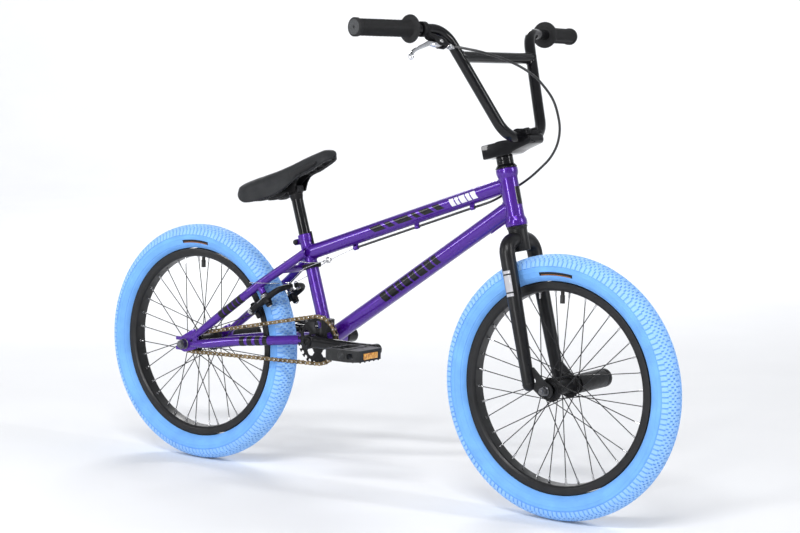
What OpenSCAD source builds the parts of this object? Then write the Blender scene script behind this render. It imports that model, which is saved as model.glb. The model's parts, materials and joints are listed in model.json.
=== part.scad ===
// BMX bike, standing upright on both wheels.
// +X points forward, +Y to the rider's left and +Z up. The origin is on the ground, midway between the wheels.

/* [Wheels] */
// Outer radius of each tyre
tyre_r = 264; // [262:0.5:266]
// Distance between the wheel centres
wheelbase = 940.8; // [936:0.2:946]
// Radius of the round part of the tyre section
tyre_section_r = 28.4; // [27.4:0.1:28.4]
// Radius of the rim's outer flange
rim_r = 210; // [209:0.5:210.5]
// Outer width of the rim
rim_w = 36; // [34:0.5:37]
// Spokes in each wheel
spokes = 36; // [32, 36]
// Diameter of each spoke
spoke_d = 2; // [1.8:0.1:2.2]

/* [Frame] */
// Diameter of the top tube
top_tube_d = 31.8; // [28:0.2:34]
// Diameter of the down tube
down_tube_d = 34.9; // [31:0.1:37]
// Diameter of the seat tube
seat_tube_d = 28.6; // [28.4:0.1:30]
// Height of the crank axle above the ground
bracket_z = 306; // [302:1:310]
// Diameter of the seatstays
seatstay_d = 19; // [17:0.5:19.5]
// Diameter of the chainstays
chainstay_d = 22; // [19:0.5:22]
// Angle of the seat tube from the ground
seat_angle = 73; // [72.5:0.1:73.5]

/* [Steering] */
// Angle of the steering axis from the ground
head_angle = 76; // [75.7:0.1:76.3]
// Length of the head tube
head_tube_l = 117; // [114:1:118]
// Diameter of the handlebar tube
bar_d = 22.2; // [21.8:0.1:22.4]
// Half of the handlebar's full width
bar_half_w = 379.4; // [370:0.2:385]
// Length of each grip
grip_l = 143; // [130:1:146]
// Diameter of each grip
grip_d = 34; // [30:0.5:36]

/* [Drivetrain] */
// Teeth on the front sprocket
sprocket_teeth = 25; // [25, 24]
// Teeth on the rear driver
driver_teeth = 9; // [9]
// Distance of the chain from the middle plane
chainline = 42; // [41.5:0.1:42.2]
// Length of each crank arm between its two centres
crank_l = 173; // [165:1:175]
// Width of each pedal along its axle
pedal_w = 80; // [74:1:84]
// Length of each pedal from front to back
pedal_l = 90; // [80:1:94]

/* [Pegs] */
// Outer diameter of each peg
peg_d = 38; // [36:0.5:40]
// Length of the rear peg
rear_peg_l = 122; // [100:1:125]
// Length of the front peg
front_peg_l = 116; // [100:1:120]

/* [Seat] */
// Diameter of the seat post
post_d = 25.4; // [25.3:0.02:25.4]
// Half width of the seat at its tail
seat_half_w = 65; // [58:1:68]

/* [Hidden] */
$fn = 48;

// Colours
frame_violet = [0.29, 0.06, 0.58];
tyre_blue = [0.45, 0.68, 0.94];
satin_black = [0.09, 0.09, 0.10];
charcoal = [0.20, 0.21, 0.22];
steel = [0.75, 0.76, 0.78];
brass = [0.62, 0.48, 0.27];

// Small gaps: between parts that touch, in running fits, and the overlap that makes cuts clean
gap = 0.1;
fit = 0.05;
cut = 1;

// Wheel centres, and tyre, rim and hub sizes
front_c = [wheelbase / 2, 0, tyre_r];
rear_c = [-wheelbase / 2, 0, tyre_r];
tyre_shift = 2.1;
tyre_wall = 3.5;
tyre_c = tyre_r - tyre_section_r;
rim_bed_r = 192;
rim_wall = 1.8;
nipple_d = 4.4;
valve_d = 7.7;
flange_r = 24;
spoke_ring_r = 21;
flange_t = 3;
front_flange_y = 34;
rear_flange_left_y = 36;
rear_flange_right_y = -26;
front_axle_r = 4.75;
rear_axle_r = 7;
front_old = 50;
rear_old = 55;
bearing_r = 11;

// Steering axis: h is the distance along it above the bottom of the head tube
head_bottom = [360.4, 0, 575.5];
head_dir = [-cos(head_angle), 0, sin(head_angle)];
head_fwd = [sin(head_angle), 0, cos(head_angle)];
steerer_r = 14.3;
head_tube_r = 18.75;
cup_r = 22;
cup_l = 13;
lower_steerer_r = 19;

// Frame points
bracket_c = [-106, 0, bracket_z];
bracket_r = 22;
bracket_half_w = 34;
seat_dir = [-cos(seat_angle), 0, sin(seat_angle)];
seat_top = [-179.8, 0, 523.7];
seat_tube_l = 228;
top_tube_rear = [-168, 0, 484];
top_tube_front = [338, 0, 658];
down_tube_front = [352, 0, 615];
post_hole_r = 12.75;

// Seatstay direction, and the direction square to it towards the ground and the front
stay_dir = [0.8094, 0, 0.5872];
stay_down = [0.5872, 0, -0.8094];
dropout_y = 58;
dropout_t = 6;

// Stem: height of its steerer clamp on the steering axis, reach and rise of the bar from there, and width
stem_h = 155;
stem_reach = 55.2;
stem_rise = 14;
stem_w = 50;

// Handlebar points on the left side: the clamped middle, the lower bend, the upper bend and the end
bar_clamp = on_head(stem_h) + head_fwd * stem_reach + head_dir * stem_rise;
bar_low = bar_clamp + [0, 65, 0];
bar_high = [279, 150, 957.7];
bar_end = [238.9, bar_half_w, 957.1];
bar_bend_r = 52;
crossbar_at = 0.752;

// Brake lever: pivot, direction along the bar to the outside, and direction away from the bar
lever_c = [292, -185, 931];
lever_out = unit([bar_end[0] - bar_high[0], bar_high[1] - bar_end[1], 0]);
lever_away = unit(cross(cross(lever_out, [0.58, 0, -0.82]), lever_out));
lever_axis = cross(lever_out, lever_away);

// Chain: pitch, and the pitch radius of each toothed wheel
pitch = 12.7;
sprocket_r = pitch / (2 * sin(180 / sprocket_teeth));
driver_r = pitch / (2 * sin(180 / driver_teeth));
roller_r = 3.85;
plate_h = 4.3;

// Brake cable. The housing leaves the lever, loops in front of the bars and runs under the top tube.
loop_route = [
    [306, -150, 926], [328, -141, 922], [350, -128, 917], [378, -100, 906], [403, -72, 891],
    [419, -42, 872], [429, -18, 850], [437, 0, 826], [441, 12, 798], [440, 22, 769],
    [430, 30, 739], [411, 36, 712], [387, 38, 690], [364, 38, 671], [340, 35, 654],
    [317, 26, 638], [296, 12, 623], [276, 3, 613.6], [262, 0, 608.7]
];
rear_housing_ends = [[261.5, 0, 608.5], [-45, 0, 503.1]];
yoke_c = [-115, 0, 472];
anchor_s = 297;
anchor_y = 12;
pad_s = 198;
arm_k = 35;

// Pivot of the seat on its post
post_top = seat_top + seat_dir * 92;
seat_pivot = [-209, 0, 620];

// ---------- functions ----------

function unit(v) = v / norm(v);
function flip(p, side) = [p[0], p[1] * side, p[2]];
function on_head(h) = head_bottom + head_dir * h;
// A point in the rear brake's own directions: along the seatstay, across, and square below the stay
function brake_point(s, y, k) = rear_c + stay_dir * s + stay_down * k + [0, y, 0];
function on_top_tube(t, below) =
    top_tube_rear + (top_tube_front - top_tube_rear) * t
    + below * [unit(top_tube_front - top_tube_rear)[2], 0, -unit(top_tube_front - top_tube_rear)[0]];
// Point t (0 to 1) of a smooth curve from b to c that also leans on a and d
function smooth(a, b, c, d, t) =
    0.5 * (2 * b + (c - a) * t + (2 * a - 5 * b + 4 * c - d) * t * t
    + (3 * b - a - 3 * c + d) * t * t * t);
function route_point(p, i) = p[min(max(i, 0), len(p) - 1)];
function smooth_route(p, steps) = concat(
    [for (i = [0:len(p) - 2], j = [0:steps - 1])
        smooth(route_point(p, i - 1), p[i], p[i + 1], route_point(p, i + 2), j / steps)],
    [p[len(p) - 1]]);
function tangent(p, i) = unit(route_point(p, i + 1) - route_point(p, i - 1));
// Points of a round bend of the given radius at b, on the way from a to c
function bend(a, b, c, radius, steps) =
    let (
        back = unit(a - b),
        ahead = unit(c - b),
        turn = 180 - acos(back * ahead),
        reach = radius * tan(turn / 2),
        centre = b + unit(back + ahead) * radius / cos(turn / 2),
        x = unit(b + back * reach - centre),
        y = -back
    )
    [for (i = [0:steps]) centre + radius * (x * cos(turn * i / steps) + y * sin(turn * i / steps))];
// A direction square to v, nearly the same for nearby v
function side_of(v) = unit(cross(v, [0.31, 0.17, 0.93]));
// Half width of the seat at u, from its tail (0) to its nose (1)
function seat_tail(u) = sqrt(max(0.02, 1 - pow(max(0, 1 - u / 0.2), 2)));
function seat_nose(u) = sqrt(max(0.02, 1 - pow(max(0, (u - 0.9) / 0.1), 2)));
function seat_round(u) = seat_tail(u) * seat_nose(u);
function ease(t) = let (c = min(max(t, 0), 1)) c * c * (3 - 2 * c);
function seat_w(u) = seat_round(u) * (seat_half_w - (seat_half_w - 24) * ease((u - 0.12) / 0.6));
function seat_x(u) = -346 + 244 * u;
function seat_top_z(u) = 621 + 88 * u + 6 * ease((u - 0.4) / 0.4)
    - 8 * (1 - seat_tail(u)) - 20 * (1 - seat_nose(u));
function seat_skirt(u) = seat_round(u)
    * (37 + 16 * ease(u / 0.3) - 18 * ease((u - 0.42) / 0.3) - 8 * ease((u - 0.76) / 0.2));

// ---------- shared shapes ----------

// Puts its children so that their Z axis runs from a towards b
module along(a, b) {
    d = b - a;
    translate(a)
        rotate([0, acos(d[2] / norm(d)), atan2(d[1], d[0])])
            children();
}

module rod(a, b, r1, r2) {
    along(a, b)
        cylinder(h = norm(b - a), r1 = r1, r2 = r2);
}

// A cylinder across the bike, from y1 to y2
module cross_rod(c, y1, y2, r) {
    translate([c[0], y1, c[2]])
        rotate([-90, 0, 0])
            cylinder(h = y2 - y1, r = r);
}

// A flat shape drawn in X and Z, made solid from y1 to y2
module side_plate(c, y1, y2) {
    translate([c[0], y2, c[2]])
        rotate([90, 0, 0])
            linear_extrude(height = y2 - y1)
                children();
}

// A ring about a wheel's axle, from a section drawn as radius and Y
module wheel_ring(c) {
    translate(c)
        rotate([-90, 0, 0])
            rotate_extrude($fn = 96)
                children();
}

// Places children in the frame of two given directions and their cross product
module in_frame(c, x, y, z) {
    multmatrix([
        [x[0], y[0], z[0], c[0]],
        [x[1], y[1], z[1], c[1]],
        [x[2], y[2], z[2], c[2]],
        [0, 0, 0, 1]
    ])
        children();
}

// A round tube swept along a route of points. r is its radius, or a list with one for each point.
module swept(p, r, sides) {
    n = len(p);
    points = [for (i = [0:n - 1], j = [0:sides - 1])
        let (t = tangent(p, i), a = side_of(t), b = cross(t, a))
        p[i] + (is_num(r) ? r : r[i]) * (a * cos(360 * j / sides) + b * sin(360 * j / sides))];
    walls = [for (i = [0:n - 2], j = [0:sides - 1])
        let (k = (j + 1) % sides)
        [i * sides + j, (i + 1) * sides + j, (i + 1) * sides + k, i * sides + k]];
    first = [[for (j = [0:sides - 1]) j]];
    last = [[for (j = [sides - 1:-1:0]) (n - 1) * sides + j]];
    polyhedron(points = points, faces = concat(first, walls, last), convexity = 10);
}

// A line of flat bar through 2D points, w wide, with corners that are round and slightly proud
module strap(p, w) {
    for (i = [0:len(p) - 2]) {
        d = p[i + 1] - p[i];
        translate(p[i])
            rotate(atan2(d[1], d[0]))
                translate([0, -w / 2])
                    square([norm(d), w]);
    }
    for (q = p)
        translate(q)
            circle(d = w + 0.4);
}

module hex_nut(c, y1, y2, across) {
    translate([c[0], y1, c[2]])
        rotate([-90, 0, 0])
            cylinder(h = y2 - y1, d = across / cos(30), $fn = 6);
}

// ---------- frame ----------

module head_tube() {
    color(frame_violet)
        in_frame(head_bottom, head_fwd, [0, 1, 0], head_dir)
            difference() {
                union() {
                    cylinder(h = head_tube_l, r = head_tube_r);
                    cylinder(h = cup_l, r = cup_r);
                    translate([0, 0, cup_l])
                        cylinder(h = 5, r1 = cup_r, r2 = head_tube_r);
                    translate([0, 0, head_tube_l - cup_l])
                        cylinder(h = cup_l, r = cup_r);
                    translate([0, 0, head_tube_l - cup_l - 5])
                        cylinder(h = 5, r1 = head_tube_r, r2 = cup_r);
                }
                translate([0, 0, -cut])
                    cylinder(h = head_tube_l + 2 * cut, r = head_tube_r - 2);
                translate([0, 0, -cut])
                    cylinder(h = 8 + cut, r = cup_r - 2);
                translate([0, 0, head_tube_l - 8])
                    cylinder(h = 8 + cut, r = cup_r - 2);
            }
}

// The room that the head tube takes, cups included
module head_tube_space() {
    in_frame(head_bottom, head_fwd, [0, 1, 0], head_dir) {
        translate([0, 0, -20])
            cylinder(h = head_tube_l + 40, r = head_tube_r + gap);
        translate([0, 0, -20])
            cylinder(h = cup_l + 25, r = cup_r + gap);
        translate([0, 0, head_tube_l - cup_l - 5])
            cylinder(h = cup_l + 25, r = cup_r + gap);
    }
}

module seat_tube_space() {
    rod(seat_top - seat_dir * (seat_tube_l + 20), seat_top, seat_tube_d / 2 + gap, seat_tube_d / 2 + gap);
}

module top_tube() {
    r = top_tube_d / 2;
    color(frame_violet)
        difference() {
            rod(top_tube_rear, top_tube_front, r, r);
            rod(top_tube_rear, top_tube_front, r - 1.5, r - 1.5);
            head_tube_space();
            seat_tube_space();
        }
}

module down_tube() {
    r = down_tube_d / 2;
    color(frame_violet)
        difference() {
            rod(bracket_c, down_tube_front, r, r);
            rod(bracket_c, down_tube_front, r - 1.5, r - 1.5);
            head_tube_space();
            cross_rod(bracket_c, -40, 40, bracket_r + gap);
            seat_tube_space();
        }
}

module seat_tube() {
    r = seat_tube_d / 2;
    foot = seat_top - seat_dir * seat_tube_l;
    ear = seat_top - seat_dir * 14 + [-20, 0, -4];
    color(frame_violet)
        difference() {
            union() {
                rod(foot, seat_top, r, r);
                rod(seat_top - seat_dir * 16, seat_top, r + 1.6, r + 1.6);
                cross_rod(ear, -9, 9, 6.5);
                side_plate(ear, -9, 9)
                    translate([0, -6.5])
                        square([14, 13]);
            }
            rod(foot - seat_dir, seat_top + seat_dir, post_hole_r, post_hole_r);
            cross_rod(bracket_c, -40, 40, bracket_r + gap);
            cross_rod(ear, -10, 10, 3.1);
            translate([ear[0] - 10, -1, ear[2] - 26])
                cube([24, 2, 60]);
        }
}

module bottom_bracket_shell() {
    color(frame_violet)
        difference() {
            cross_rod(bracket_c, -bracket_half_w, bracket_half_w, bracket_r);
            cross_rod(bracket_c, -bracket_half_w - cut, bracket_half_w + cut, bracket_r - 2.5);
        }
}

// The slot in each stay that takes the dropout plate
module dropout_slots() {
    for (side = [-1, 1])
        translate([-500, side * dropout_y - dropout_t / 2 - gap, 230])
            cube([70, dropout_t + 2 * gap, 76]);
}

module chainstay(side) {
    r = chainstay_d / 2;
    color(frame_violet)
        difference() {
            swept([[-448, side * 57.5, 265], [-330, side * 50, 282], [-240, side * 45, 292],
                [-108, side * 14, 305]], [7.5, r - 1, r - 1, r - 0.5], 24);
            cross_rod(bracket_c, -60, 60, bracket_r + gap);
            dropout_slots();
            seat_tube_space();
        }
}

module seatstay(side) {
    r = seatstay_d / 2;
    foot = brake_point(34, side * 57, 0);
    color(frame_violet)
        difference() {
            swept([foot, brake_point(90, side * 55, 0), brake_point(250, side * 47, 0),
                brake_point(386, side * 17, 0)], [7.5, r, r, r], 24);
            rod(top_tube_rear, top_tube_front, top_tube_d / 2 + gap, top_tube_d / 2 + gap);
            dropout_slots();
            seat_tube_space();
            brake_post_space(side);
            stay_bridge_space();
        }
}

module rear_dropout(side) {
    side_plate(rear_c, side * dropout_y - dropout_t / 2, side * dropout_y + dropout_t / 2)
        difference() {
            union() {
                circle(r = 18);
                translate([-26, -15])
                    square([26, 30]);
                polygon([[-8, 17], [10, 27], [26, 36], [38, 28], [36, 8], [34, -8], [16, -14], [4, -17]]);
            }
            circle(r = rear_axle_r + gap);
            translate([-40, -rear_axle_r - gap])
                square([40, 2 * (rear_axle_r + gap)]);
            translate([19, 7])
                circle(r = 5);
        }
}

module rear_dropouts() {
    color(frame_violet) {
        rear_dropout(-1);
        rear_dropout(1);
    }
}

bridge_s = 316;
module stay_bridge_space() {
    rod(brake_point(bridge_s, -33, 3), brake_point(bridge_s, 33, 3), 8 + gap, 8 + gap);
}

module frame_gussets() {
    w = 3;
    upper = on_head(head_tube_l - 18);
    lower = on_head(cup_l + 6);
    color(frame_violet) {
        // Bridge between the seatstays
        rod(brake_point(bridge_s, -33, 3), brake_point(bridge_s, 33, 3), 8, 8);
        // Bridge between the chainstays
        difference() {
            rod([-190, -27, 297], [-190, 27, 297], 6.5, 6.5);
            for (side = [-1, 1])
                rod([-240, side * 45, 292], [-108, side * 14, 305], chainstay_d / 2, chainstay_d / 2);
        }
        // Plates in the corners of the head tube
        difference() {
            side_plate([0, 0, 0], -w / 2, w / 2)
                polygon([[upper[0], upper[2] - 6], [278, 652.5], [262, 632], [upper[0] + 6, 640]]);
            head_tube_space();
            rod(top_tube_rear, top_tube_front, top_tube_d / 2 + gap, top_tube_d / 2 + gap);
        }
        difference() {
            side_plate([0, 0, 0], -w / 2, w / 2)
                polygon([[lower[0], lower[2]], [300, 556], [306, 582], [lower[0], 608]]);
            head_tube_space();
            rod(bracket_c, down_tube_front, down_tube_d / 2 + gap, down_tube_d / 2 + gap);
        }
    }
}

// Housing guides and the housing stop under the top tube, and the cable band on the seat tube
module cable_fittings() {
    d = unit(top_tube_front - top_tube_rear);
    color(frame_violet)
        for (t = [0.24, 0.55, 0.82])
            difference() {
                rod(on_top_tube(t, 21.9) - d * 5, on_top_tube(t, 21.9) + d * 5, 4.2, 4.2);
                rod(on_top_tube(t, 21.9) - d * 8, on_top_tube(t, 21.9) + d * 8, 2.6, 2.6);
                rod(top_tube_rear, top_tube_front, top_tube_d / 2 + gap, top_tube_d / 2 + gap);
            }
    band = seat_top - seat_dir * 70;
    color(satin_black)
        difference() {
            rod(band - seat_dir * 5, band + seat_dir * 5, 20, 21.5);
            rod(band - seat_dir * 9, band + seat_dir * 9, seat_tube_d / 2 + gap, seat_tube_d / 2 + gap);
        }
}

module brake_post_space(side) {
    rod(brake_point(250, side * 45, 0), brake_point(250, side * 45, 60), 7 + gap, 7 + gap);
}

module brake_bosses() {
    color(frame_violet)
        for (side = [-1, 1])
            rod(brake_point(250, side * 45, 1), brake_point(250, side * 45, 22), 7, 7);
    color(steel)
        for (side = [-1, 1]) {
            rod(brake_point(250, side * 45, 22 + gap), brake_point(250, side * 45, 48), 4, 4);
            rod(brake_point(250, side * 45, 48 + gap), brake_point(250, side * 45, 53), 7.5, 6);
        }
}

module bearing_ring(a, b, outer, inner) {
    difference() {
        rod(a, b, outer, outer);
        rod(a - unit(b - a), b + unit(b - a), inner, inner);
    }
}

module frame_bearings() {
    color(steel) {
        bearing_ring(on_head(0.5), on_head(7.5), cup_r - 2 - gap, steerer_r + fit);
        bearing_ring(on_head(head_tube_l - 7.5), on_head(head_tube_l - 0.5), cup_r - 2 - gap, steerer_r + fit);
        for (side = [-1, 1])
            bearing_ring(
                bracket_c + [0, side * (bracket_half_w - 9), 0],
                bracket_c + [0, side * (bracket_half_w - 1), 0],
                bracket_r - 2.5 - gap, 9.5 + fit);
    }
}

module seat_clamp_bolt() {
    ear = seat_top - seat_dir * 14 + [-20, 0, -4];
    color(satin_black) {
        cross_rod(ear, -9 - gap, 9 + gap, 3);
        cross_rod(ear, -15, -9 - gap, 5.5);
        cross_rod(ear, 9 + gap, 14, 5);
    }
}

module rear_brake_housing() {
    color(satin_black)
        rod(rear_housing_ends[0], rear_housing_ends[1], 2.5, 2.5);
}

module rear_axle() {
    color(steel) {
        cross_rod(rear_c, -74, 80, rear_axle_r);
        cross_rod(rear_c, -77, -73, rear_axle_r - 0.8);
        cross_rod(rear_c, -80, -76, rear_axle_r);
        difference() {
            cross_rod(rear_c, -rear_old, rear_old, 10);
            cross_rod(rear_c, -50.6, 44.6, 12);
        }
    }
}

module axle_nut(c, y1, y2, across, bore) {
    difference() {
        union() {
            hex_nut(c, y1, y2, across);
            cross_rod(c, min(abs(y1), abs(y2)) * sign(y1) - (y1 < 0 ? 2 : 0),
                min(abs(y1), abs(y2)) * sign(y1) + (y1 < 0 ? 0 : 2), across * 0.62);
        }
        cross_rod(c, y1 - cut, y2 + cut, bore + gap / 2);
    }
}

module rear_axle_nuts() {
    face = dropout_y + dropout_t / 2;
    color(steel) {
        axle_nut(rear_c, -face - 12.5, -face - gap / 2, 19, rear_axle_r);
        axle_nut(rear_c, face + 6 + gap / 2, face + 17, 17, rear_axle_r);
    }
}

// A hollow peg with a thick base, drilled for the axle
module peg(c, y, length, bore) {
    color(satin_black)
        difference() {
            cross_rod(c, y, y + length, peg_d / 2);
            cross_rod(c, y + 25, y + length + cut, peg_d / 2 - 5.5);
            cross_rod(c, y + 6, y + 26, peg_d / 2 - 5);
            cross_rod(c, y - cut, y + 7, bore + gap / 2);
            difference() {
                cross_rod(c, y + length - 14, y + length - 12.5, peg_d);
                cross_rod(c, y + length - 15, y + length - 12, peg_d / 2 - 0.8);
            }
            translate([c[0], y + length - 8, c[2]])
                cylinder(h = 40, r = 2.5);
        }
}

module rear_peg() {
    peg(rear_c, dropout_y + dropout_t / 2 + gap / 2, rear_peg_l, rear_axle_r);
}

// Side plates of the chain, as two closed bands on either side of the teeth
module chain_outline(grow) {
    reach = norm([bracket_c[0] - rear_c[0], bracket_c[2] - rear_c[2]]);
    tilt = atan2(bracket_c[2] - rear_c[2], bracket_c[0] - rear_c[0]);
    lean = asin((sprocket_r - driver_r) / reach);
    big = sprocket_r + grow;
    small = driver_r + grow;
    // The straight runs lie just inside the two circles
    outer = big - 0.2;
    inner = small - 0.2;
    rotate(tilt) {
        circle(r = small, $fn = 96);
        translate([reach, 0])
            circle(r = big, $fn = 96);
        polygon([
            [-inner * sin(lean), inner * cos(lean)],
            [reach - outer * sin(lean), outer * cos(lean)],
            [reach - outer * sin(lean), -outer * cos(lean)],
            [-inner * sin(lean), -inner * cos(lean)]
        ]);
    }
}

module chain() {
    color(brass)
        for (side = [-1, 1])
            side_plate([rear_c[0], 0, rear_c[2]],
                -chainline + side * 3 - 0.9, -chainline + side * 3 + 0.9)
                difference() {
                    chain_outline(plate_h);
                    chain_outline(-plate_h);
                }
}

// The bare inner wire, its yoke, and the straddle wire down to the two brake arms
module straddle_cable() {
    color(steel) {
        rod(rear_housing_ends[1] + [-1, 0, -0.3], yoke_c + [7.5, 0, 3], 0.8, 0.8);
        difference() {
            rod(yoke_c + [7, 0, 3], yoke_c + [-7, 0, -3], 5, 5);
            rod(yoke_c + [-2, -9, 0], yoke_c + [-2, 9, 0], 1.2, 1.2);
        }
        for (side = [-1, 1])
            swept(smooth_route([
                yoke_c + [-2, side * 6.5, 0], yoke_c + [-22, side * 18, -8], [-166, side * 23.5, 450],
                [-188, side * 21, 432],
                brake_point(anchor_s + 7, side * (anchor_y + 1), arm_k - 7)
            ], 3), 0.8, 8);
    }
}

// ---------- fork, stem and bars ----------

module fork_steerer() {
    color(satin_black)
        in_frame(head_bottom, head_fwd, [0, 1, 0], head_dir)
            difference() {
                union() {
                    translate([0, 0, -50])
                        cylinder(h = 48, r = lower_steerer_r);
                    translate([0, 0, -2])
                        cylinder(h = 1.8, r = cup_r - 1);
                    translate([0, 0, -2])
                        cylinder(h = head_tube_l + 52, r = steerer_r);
                }
                translate([0, 0, -50 - cut])
                    cylinder(h = 48, r = lower_steerer_r - 3.5);
                translate([0, 0, -50 - cut])
                    cylinder(h = head_tube_l + 110, r = steerer_r - 2.5);
            }
}

module fork_leg(side) {
    start = flip([364.5, 8, 552], side);
    shoulder = flip([366.8, 49, 543], side);
    foot = flip([432.8, 56, 272], side);
    color(satin_black)
        difference() {
            swept(concat([start], bend(start, shoulder, foot, 28, 8), [foot]),
                [15.5, for (i = [0:8]) 15.5, 12.5], 24);
            rod(on_head(-51), on_head(-1), lower_steerer_r + gap, lower_steerer_r + gap);
            translate([400, side * 53 - 3 - gap, 230])
                cube([80, 6 + 2 * gap, 78]);
        }
}

module fork_dropout(side) {
    side_plate([front_c[0], 0, front_c[2]], side * 53 - 3, side * 53 + 3)
        difference() {
            union() {
                circle(r = 15);
                polygon([
                    [-46, 43], [-30, 43], [-2, 17], [14, 6], [14, -6],
                    [2, -15], [-12, -12], [-30, 2], [-46, 12]
                ]);
            }
            circle(r = front_axle_r + gap);
            translate([-front_axle_r - gap, -20])
                square([2 * (front_axle_r + gap), 20]);
            translate([-27, 17])
                circle(r = 5);
        }
}

module fork_dropouts() {
    color(satin_black) {
        fork_dropout(-1);
        fork_dropout(1);
    }
}

module in_stem() {
    in_frame(on_head(stem_h), head_fwd, [0, 1, 0], head_dir)
        children();
}

module bar_space(r) {
    translate([stem_reach, -60, stem_rise])
        rotate([-90, 0, 0])
            cylinder(h = 120, r = r);
}

stem_bolt_places = [
    [stem_reach - 17, -15], [stem_reach - 17, 15], [stem_reach + 17, -15], [stem_reach + 17, 15]
];

module stem_body() {
    color(satin_black)
        in_stem()
            difference() {
                union() {
                    cylinder(h = 28, r = 20, center = true);
                    translate([-34, -16, -14])
                        cube([34, 32, 28]);
                    translate([0, -18, -14])
                        cube([40, 36, 28]);
                    translate([30, -stem_w / 2, -8])
                        cube([52, stem_w, 22 - gap]);
                }
                translate([0, 0, -30])
                    cylinder(h = 60, r = steerer_r + gap / 2);
                bar_space(bar_d / 2 + gap / 2);
                translate([-40, -1.2, -20])
                    cube([36, 2.4, 40]);
                for (z = [-7, 7])
                    translate([-25, 0, z])
                        rotate([90, 0, 0])
                            cylinder(h = 60, r = 3.1, center = true);
                for (q = stem_bolt_places)
                    translate([q[0], q[1], -20])
                        cylinder(h = 60, r = 3.6);
            }
}

module stem_cap() {
    color(satin_black)
        in_stem()
            difference() {
                union() {
                    translate([30, -stem_w / 2, stem_rise + 1])
                        cube([52, stem_w, 8]);
                    translate([stem_reach, stem_w / 2, stem_rise + 1])
                        rotate([90, 0, 0])
                            intersection() {
                                cylinder(h = stem_w, r = 16.5);
                                translate([-20, 0, -1])
                                    cube([40, 20, stem_w + 2]);
                            }
                }
                bar_space(bar_d / 2 + gap / 2);
                for (q = stem_bolt_places) {
                    translate([q[0], q[1], 0])
                        cylinder(h = 60, r = 3.6);
                    translate([q[0], q[1], stem_rise + 9])
                        cylinder(h = 20, r = 6.3);
                }
            }
}

module stem_bolts() {
    color(satin_black)
        in_stem() {
            for (q = stem_bolt_places)
                translate([q[0], q[1], -8]) {
                    cylinder(h = stem_rise + 17 + gap, r = 3.5);
                    translate([0, 0, stem_rise + 17 + gap])
                        difference() {
                            cylinder(h = 6, r = 6);
                            translate([0, 0, 3])
                                cylinder(h = 4, r = 3, $fn = 6);
                        }
                }
            for (z = [-7, 7])
                translate([-25, 0, z])
                    rotate([90, 0, 0]) {
                        cylinder(h = 32 + 2 * gap, r = 3, center = true);
                        translate([0, 0, 16 + gap])
                            cylinder(h = 4, r = 5);
                        translate([0, 0, -20 - gap])
                            cylinder(h = 4, r = 5);
                    }
        }
}

// Headset cover, spacer tube and the top cap in the steerer
module headset_spacer() {
    top = head_tube_l;
    color(satin_black)
        in_frame(head_bottom, head_fwd, [0, 1, 0], head_dir) {
            difference() {
                union() {
                    translate([0, 0, top + 0.3])
                        cylinder(h = 7, r1 = cup_r, r2 = 18);
                    translate([0, 0, top + 0.3])
                        cylinder(h = stem_h - 14 - top - 0.4, r = 17);
                }
                translate([0, 0, top - cut])
                    cylinder(h = 60, r = steerer_r + gap / 2);
            }
            translate([0, 0, top + 50 + gap])
                cylinder(h = 5, r = 14);
        }
}

module handlebar() {
    r = bar_d / 2;
    join = bar_low + (bar_high - bar_low) * crossbar_at;
    bends = concat(
        bend(bar_clamp, bar_low, bar_high, bar_bend_r, 8),
        bend(bar_low, bar_high, bar_end, bar_bend_r, 8),
        [bar_end]
    );
    n = len(bends);
    color(satin_black) {
        swept(concat([for (i = [n - 1:-1:0]) flip(bends[i], -1)], bends), r, 20);
        // Crossbar, shaped to fit the two risers
        difference() {
            rod(flip(join, -1), join, r, r);
            for (side = [-1, 1])
                rod(flip(bar_low, side), flip(bar_high, side), r + gap, r + gap);
        }
    }
}

module grip(side) {
    tail = unit(bar_end - bar_high);
    inner = flip(bar_end - tail * grip_l, side);
    outer = flip(bar_end + tail * 2.5, side);
    out = flip(tail, side);
    difference() {
        union() {
            rod(inner, outer, grip_d / 2, grip_d / 2);
            rod(inner, inner + out * 4.5, 27.5, 27.5);
            rod(outer - out * 4, outer, grip_d / 2 + 1, grip_d / 2 + 1);
        }
        rod(inner - out, flip(bar_end, side) + out * 0.1, bar_d / 2 + gap / 2, bar_d / 2 + gap / 2);
        rod(outer - out * 4, outer + out, 2, 2);
    }
}

module grips() {
    color(satin_black) {
        grip(-1);
        grip(1);
    }
}

module in_lever() {
    in_frame(lever_c, lever_out, lever_away, lever_axis)
        children();
}

module lever_bracket() {
    color(satin_black)
        difference() {
            in_lever() {
                difference() {
                    union() {
                        translate([20, -32, 0])
                            rotate([0, 90, 0])
                                cylinder(h = 12, r = 15);
                        translate([0, 0, -6])
                            linear_extrude(height = 12)
                                strap([[26, -20], [8, -14], [-8, -1]], 11);
                        translate([0, 0, -8])
                            linear_extrude(height = 16)
                                strap([[0, 0], [-16, 4]], 13);
                    }
                    // Slot for the lever
                    translate([-6.8, -7.2, -3.5])
                        cube([24, 24, 7]);
                    translate([-4, 3, -3.5])
                        cube([24, 30, 7]);
                    // Pivot bore
                    translate([0, 0, -10])
                        cylinder(h = 20, r = 2.6);
                }
                translate([0, 0, -9])
                    cylinder(h = 18, r = 2.5);
            }
            rod(flip(bar_high, -1), flip(bar_end, -1), bar_d / 2 + gap / 2, bar_d / 2 + gap / 2);
        }
    color(steel)
        in_lever()
            translate([-22.6, 5.5, 0])
                rotate([0, -90, 14])
                    difference() {
                        cylinder(h = 13, r = 4.6);
                        translate([0, 0, 7])
                            cylinder(h = 7, r = 2.6);
                    }
}

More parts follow.
